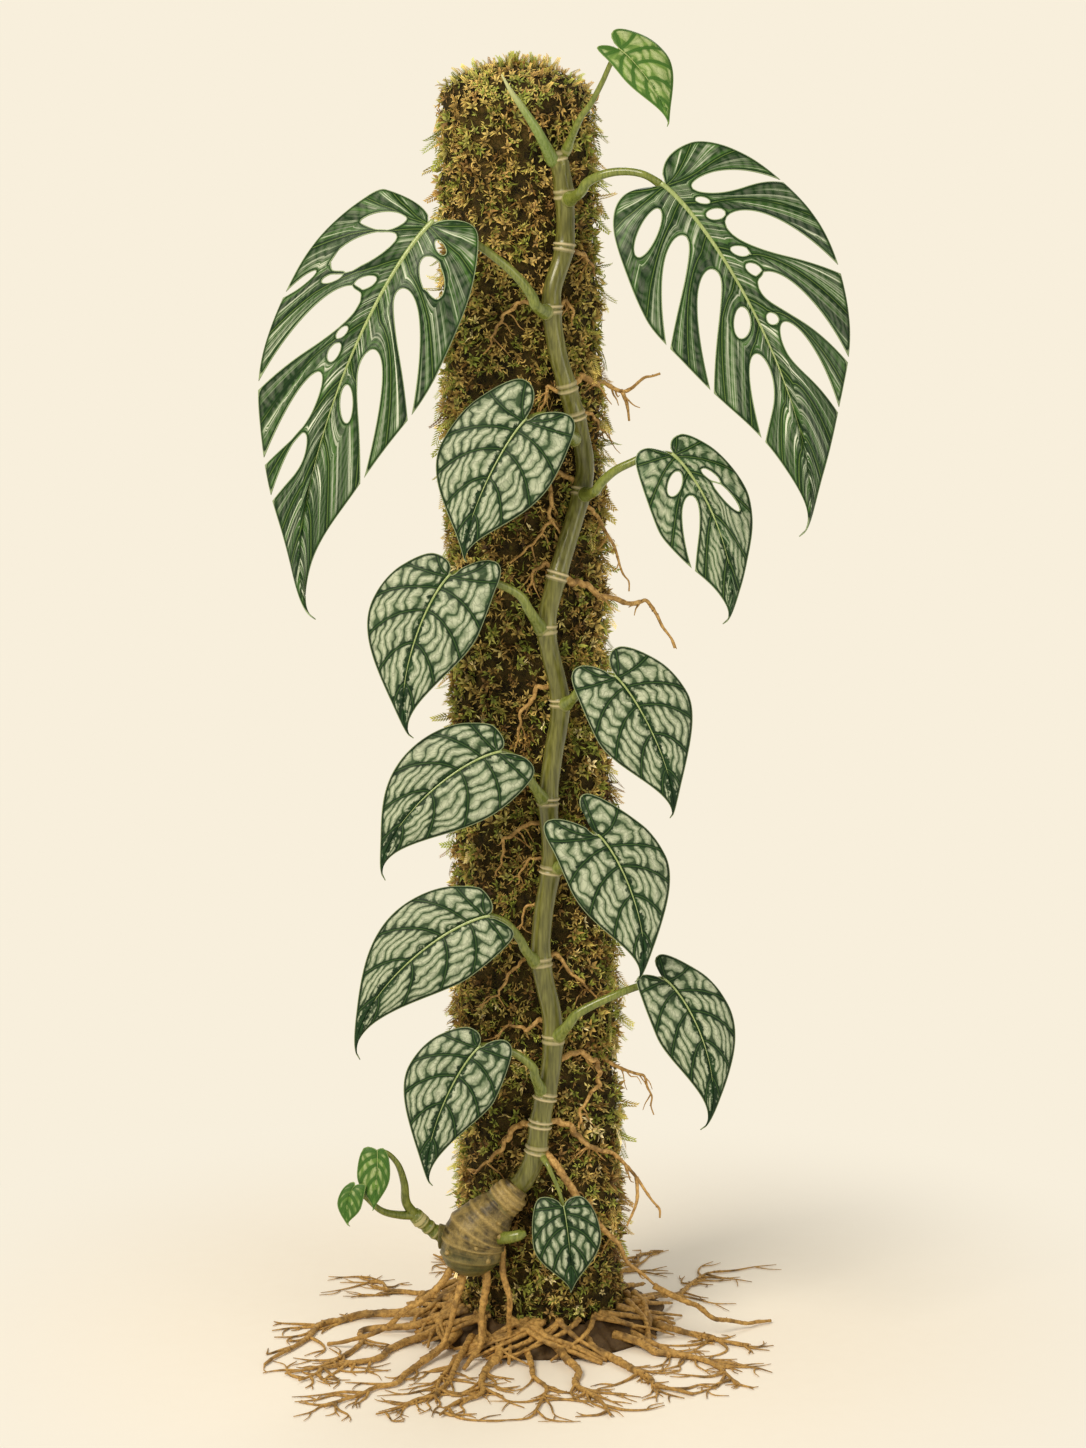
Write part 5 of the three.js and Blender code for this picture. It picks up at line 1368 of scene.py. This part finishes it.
def crooked(points, amount, seed, bends=1):
    """Shifts the places between the ends, and adds more between, so that a root winds."""
    dense = []
    for a, b in zip(points, points[1:]):
        dense += [Vector(a).lerp(Vector(b), k / (bends + 1)) for k in range(bends + 1)]
    dense.append(Vector(points[-1]))
    shifts = [Vector([amount * grain(p, 6, seed + k) for k in (1, 2, 3)]) for p in dense]
    for p, shift in zip(dense, shifts):
        shift.z *= min(p.z / 30, 1)
    return [dense[0], *[p + shift for p, shift in zip(dense[1:-1], shifts[1:-1])], dense[-1]]


def rootlets(bm, path, thick, count, seed):
    """Thread-thin roots that fork off, hang down and cling to the moss where they meet it."""
    picks = random.Random(seed)
    for _ in range(count):
        start = path[int(picks.uniform(0.25, 0.95) * (SAMPLES - 1))]
        turn, reach = picks.uniform(-1.2, 1.2), picks.uniform(4, 15)
        way = 1 if picks.random() < 0.5 else -1
        spots = [start]
        for share in (0.35, 0.7, 1.0):
            x = start[0] + way * reach * share * math.cos(turn) * 0.8
            z = start[2] - reach * share * (0.6 + 0.5 * abs(math.sin(turn))) + picks.uniform(-2, 2)
            rim = post_radius(z) + 1.5 + thick
            if abs(x - POST_LEAN * z) < rim * 0.93:
                spots.append(on_post(x, z, 1.5 + thick * (1 - share)))
            else:
                spots.append((x, start[1] + picks.uniform(-1, 1.5), z))
        bent_tube(bm, spots, lambda t, angle, run: 0.3 * thick * (1 - 0.75 * t) + 0.1, 5, 1.6)


for i, (thick, main, branch) in enumerate(AERIAL_ROOTS):
    bm = new_body()
    off = MOSS_BUMP + SEAT + thick + 0.3
    route = crooked(route_on_post(main, off), 3.0, i)
    path = bent_tube(bm, route, lumpy(thick * 0.92, 0.7, i), 8, 0.9)
    if branch:
        route = crooked(route_on_post(branch, off), 0.9, i, 0)
        bent_tube(bm, route, lumpy(thick * 0.55, 0.5, i), 8, 0.8)
    picks = random.Random(50 + i)
    for _ in range(6 + len(main)):
        t = picks.uniform(0.08, 0.95)
        side = Vector((picks.gauss(0, 1), -abs(picks.gauss(0, 1)), picks.gauss(0, 1))).normalized()
        spot = Vector(path[int(t * (SAMPLES - 1))]) + side * thick * (1 - 0.66 * t) * 0.92
        knob(bm, spot, thick * picks.uniform(0.16, 0.3), picks.uniform(0.3, 0.9))
    rootlets(bm, path, thick, 3 + len(main) // 2, 80 + i)
    node = f"aerial_root_{i + 1}"
    place_piece(f"{node}_bark", bm, [aerial_bark], node)

# %% [markdown]
# ## Ground roots
# Round the foot of the post the roots knit into a low crown, and from it they run out over the
# surface, fork and thin away. The crown is a profile spun round the post, coloured all over in the
# dark of the root scars as painted shade of a shadowed mass of roots. The roots are tubes kept
# above the surface, crooked and forked more finely towards their ends.

# %% Ground roots
CROWN_INNER, CROWN_OUTER, CROWN_HEIGHT = POST_FOOT_R + MOSS_BUMP + 1.1, 72, 15
# How far the thinnest roots may run: low and high x, then low and high y.
RUN_X, RUN_Y = (-163, 170), (-174, 133)
KNIT_ROOTS, CROWN_STEPS = 60, 150
GROUND_ROOTS = [
    (3.2, [(-60, -6), (-104, 2), (-122, -4), (-134, -17), (-147, -56), (-163, -82)]),
    (2.6, [(-58, -20), (-103, -24), (-118, -70), (-134, -89), (-150, -98)]),
    (3, [(-56, -28), (-80, -44), (-100, -75), (-125, -92), (-141, -110)]),
    (2.8, [(-50, -42), (-72, -89), (-88, -114), (-104, -132), (-124, -153)]),
    (2.4, [(-42, -50), (-56, -110), (-62, -132), (-76, -147), (-94, -164)]),
    (2.4, [(-38, -52), (-52, -72), (-60, -107), (-61, -145)]),
    (3, [(-26, -58), (-31, -95), (-37, -132), (-58, -167)]),
    (2.2, [(-14, -60), (-7, -89), (2, -119), (-5, -165)]),
    (2.8, [(8, -62), (17, -95), (23, -132), (38, -167)]),
    (3.2, [(26, -56), (37, -74), (54, -92), (66, -119), (86, -133)]),
    (2.8, [(42, -46), (67, -63), (89, -70), (103, -89), (112, -117)]),
    (2.2, [(50, -38), (76, -56), (90, -72), (103, -76)]),
    (2.8, [(58, -16), (90, -30), (103, -42), (122, -50)]),
    (2.2, [(58, 20), (84, 40), (96, 72), (112, 90)]),
    (2.2, [(-56, 26), (-80, 44), (-96, 50), (-110, 78)]),
    (2.4, [(-34, 52), (-48, 82), (-52, 104), (-70, 122)]),
    (2.2, [(4, 62), (8, 92), (-4, 112), (2, 134)]),
    (2.4, [(38, 50), (46, 80), (58, 98), (60, 122)]),
]
DESCENDING_ROOTS = [
    (2.8, [(-52, -57, 56), (-70, -62, 36), (-92, -64, 18), (-112, -52, 6), (-128, -48, 1.5)]),
    (3, [(-46, -58, 58), (-50, -62, 34), (-58, -66, 10), (-72, -76, 2)]),
    (3.2, [(-34, -60, 60), (-34, -66, 32), (-38, -72, 8), (-46, -92, 2)]),
    (2.6, [(-24, -60, 66), (-20, -66, 36), (-18, -68, 10), (-20, -84, 2)]),
    (2.4, [(66, -34, 33), (84, -36, 24), (104, -30, 12), (122, -14, 3), (138, -6, 1.5)]),
]
bm = new_body()
profile = [(CROWN_INNER, 0), (CROWN_OUTER, 0), (CROWN_OUTER - 3, 5), (CROWN_OUTER - 11, 10),
           (CROWN_INNER + 5, CROWN_HEIGHT), (CROWN_INNER, CROWN_HEIGHT - 3)]
corners = [bm.verts.new((x, 0, z)) for x, z in profile]
edges = [bm.edges.new(pair) for pair in zip(corners, corners[1:] + corners[:1])]
bmesh.ops.subdivide_edges(bm, edges=edges, cuts=3)
bmesh.ops.spin(bm, geom=[*bm.verts, *bm.edges], axis=(0, 0, 1), cent=(0, 0, 0),
               steps=CROWN_STEPS, angle=2 * math.pi, use_merge=True)
bmesh.ops.recalc_face_normals(bm, faces=bm.faces)
# Painted shade: the whole crown takes the dark root colour, so that it reads as a shadowed mass of
# knit roots.
painted_shade_mark = bm.verts.layers.float["mark"]
for v in fresh_verts(bm):
    v[painted_shade_mark] = 0.9
    reach = math.hypot(v.co.x, v.co.y)
    angle = math.atan2(v.co.y, v.co.x)
    strand_ridge = 0.06 * math.sin(9 * angle) + 0.025 * math.sin(31 * angle + 0.35 * v.co.z)
    if reach > CROWN_INNER + 1 and v.co.z > 0.01:
        grow = 1 + strand_ridge + 0.03 * grain(v.co, 5)
        v.co.x *= grow
        v.co.y *= grow
        ridge = 1.1 * math.sin(25 * angle + 0.11 * reach) + 0.7 * math.sin(13 * angle - 0.2 * reach)
        v.co.z = max(v.co.z + 1.3 * grain(v.co, 6, 4) + ridge, 0.2)


def within(x, y, z):
    return np.array((np.clip(x, *RUN_X), np.clip(y, *RUN_Y), z))


def branch_off(bm, path, thick, count, seed, reach):
    """Forks a root: thin branches leave it at an acute angle and run on over the surface."""
    picks = random.Random(seed)
    for _ in range(count):
        i = int(picks.uniform(0.35, 0.97) * (SAMPLES - 2))
        start, ahead = path[i], path[i + 1] - path[i]
        heading = math.atan2(ahead[1], ahead[0]) + picks.choice((-1, 1)) * picks.uniform(0.4, 0.9)
        size, spots, at = picks.uniform(*reach), [start], start
        for _ in range(3):
            heading += picks.gauss(0, 0.5)
            x, y = at[0] + size / 3 * math.cos(heading), at[1] + size / 3 * math.sin(heading)
            at = within(x, y, 0.7)
            spots.append(at)
        bent_tube(bm, spots, lambda t, angle, run: thick * (0.38 - 0.28 * t), 5, 2.4, floor=0.0)
        fork, heading = spots[2], heading + picks.choice((-1, 1)) * picks.uniform(0.6, 1.1)
        twig = [fork]
        for share in (0.2, 0.4):
            x = fork[0] + size * share * math.cos(heading)
            y = fork[1] + size * share * math.sin(heading)
            twig.append(within(x, y, 0.5 + 0.3 * share))
            heading += picks.gauss(0, 0.3)
        bent_tube(bm, twig, lambda t, angle, run: thick * (0.2 - 0.12 * t), 4, 2.5, floor=0.0)


def nubs(bm, path, thick, count, seed):
    """Small knobs on the upper side of a root, where side roots will break out."""
    picks = random.Random(seed)
    for _ in range(count):
        t = picks.uniform(0.05, 0.9)
        side = Vector((picks.gauss(0, 1), picks.gauss(0, 1), abs(picks.gauss(0, 1)))).normalized()
        spot = Vector(path[int(t * (SAMPLES - 1))]) + side * thick * (1 - 0.7 * t)
        knob(bm, spot, thick * picks.uniform(0.14, 0.32), picks.uniform(0.2, 0.7))


# Roots knit round the foot: each winds along the crown, from low outside to high against the post.
knit = random.Random(31)
for k in range(KNIT_ROOTS):
    angle = knit.uniform(-math.pi, math.pi if k % 2 else 0)
    turn = knit.choice((-1, 1)) * knit.uniform(0.25, 0.8)
    start, thick = knit.uniform(50, 56), knit.uniform(1.3, 2.7)
    spots = []
    for share in (0, 0.25, 0.5, 0.75, 1.0):
        reach = start + (76 + 12 * knit.random() - start) * share
        height = (CROWN_HEIGHT + 1.5) * (1 - share) ** 0.8 + 1.2 + knit.uniform(-0.8, 0.8)
        around = angle + turn * share
        spots.append((reach * math.cos(around), reach * math.sin(around), max(height, 1)))
    path = bent_tube(bm, spots, lumpy(thick * 0.95, 0.6, 300 + k), 7, 1.6, floor=0.0)
    nubs(bm, path, thick, 3, 600 + k)

for i, (thick, route) in enumerate(GROUND_ROOTS):
    points = [(x, y, max(thick * (0.9 - 0.1 * k), 1) if k else 7) for k, (x, y) in enumerate(route)]
    path = bent_tube(bm, crooked(points, 6.5, i), lumpy(thick * 0.98, 0.76, i), 8, 1.5, floor=0.0)
    branch_off(bm, path, thick, 12, 200 + i, (12, 44))
    nubs(bm, path, thick, 9, 400 + i)
for i, (thick, route) in enumerate(DESCENDING_ROOTS):
    route = crooked(route, 4.5, 60 + i)
    path = bent_tube(bm, route, lumpy(thick * 0.8, 0.5, 60 + i), 8, 1.2, floor=0.0)
    nubs(bm, path, thick, 7, 500 + i)
place_piece("ground_root_bark", bm, [ground_bark], "ground_roots")

# %% [markdown]
# ## Check and finish
# The dressed plant has to keep the size of the plain solids, so both boxes are written down.

# %% Check and finish
dressed_box = [list(corner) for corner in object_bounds()]
seen_by = bpy.context.evaluated_depsgraph_get()
total = sum(len(thing.evaluated_get(seen_by).data.loop_triangles)
            for thing in bpy.data.objects if thing.type == "MESH")
print("triangles in all:", total)
for axis in range(3):
    slack = 0.03 * (solid_box[1][axis] - solid_box[0][axis]) + 0.01
    low = solid_box[0][axis] - dressed_box[0][axis]
    high = dressed_box[1][axis] - solid_box[1][axis]
    low_mm, high_mm, slack_mm = (round(value / MM, 1) for value in (low, high, slack))
    print("XYZ"[axis], "stands out by", low_mm, "and", high_mm, "mm of", slack_mm)
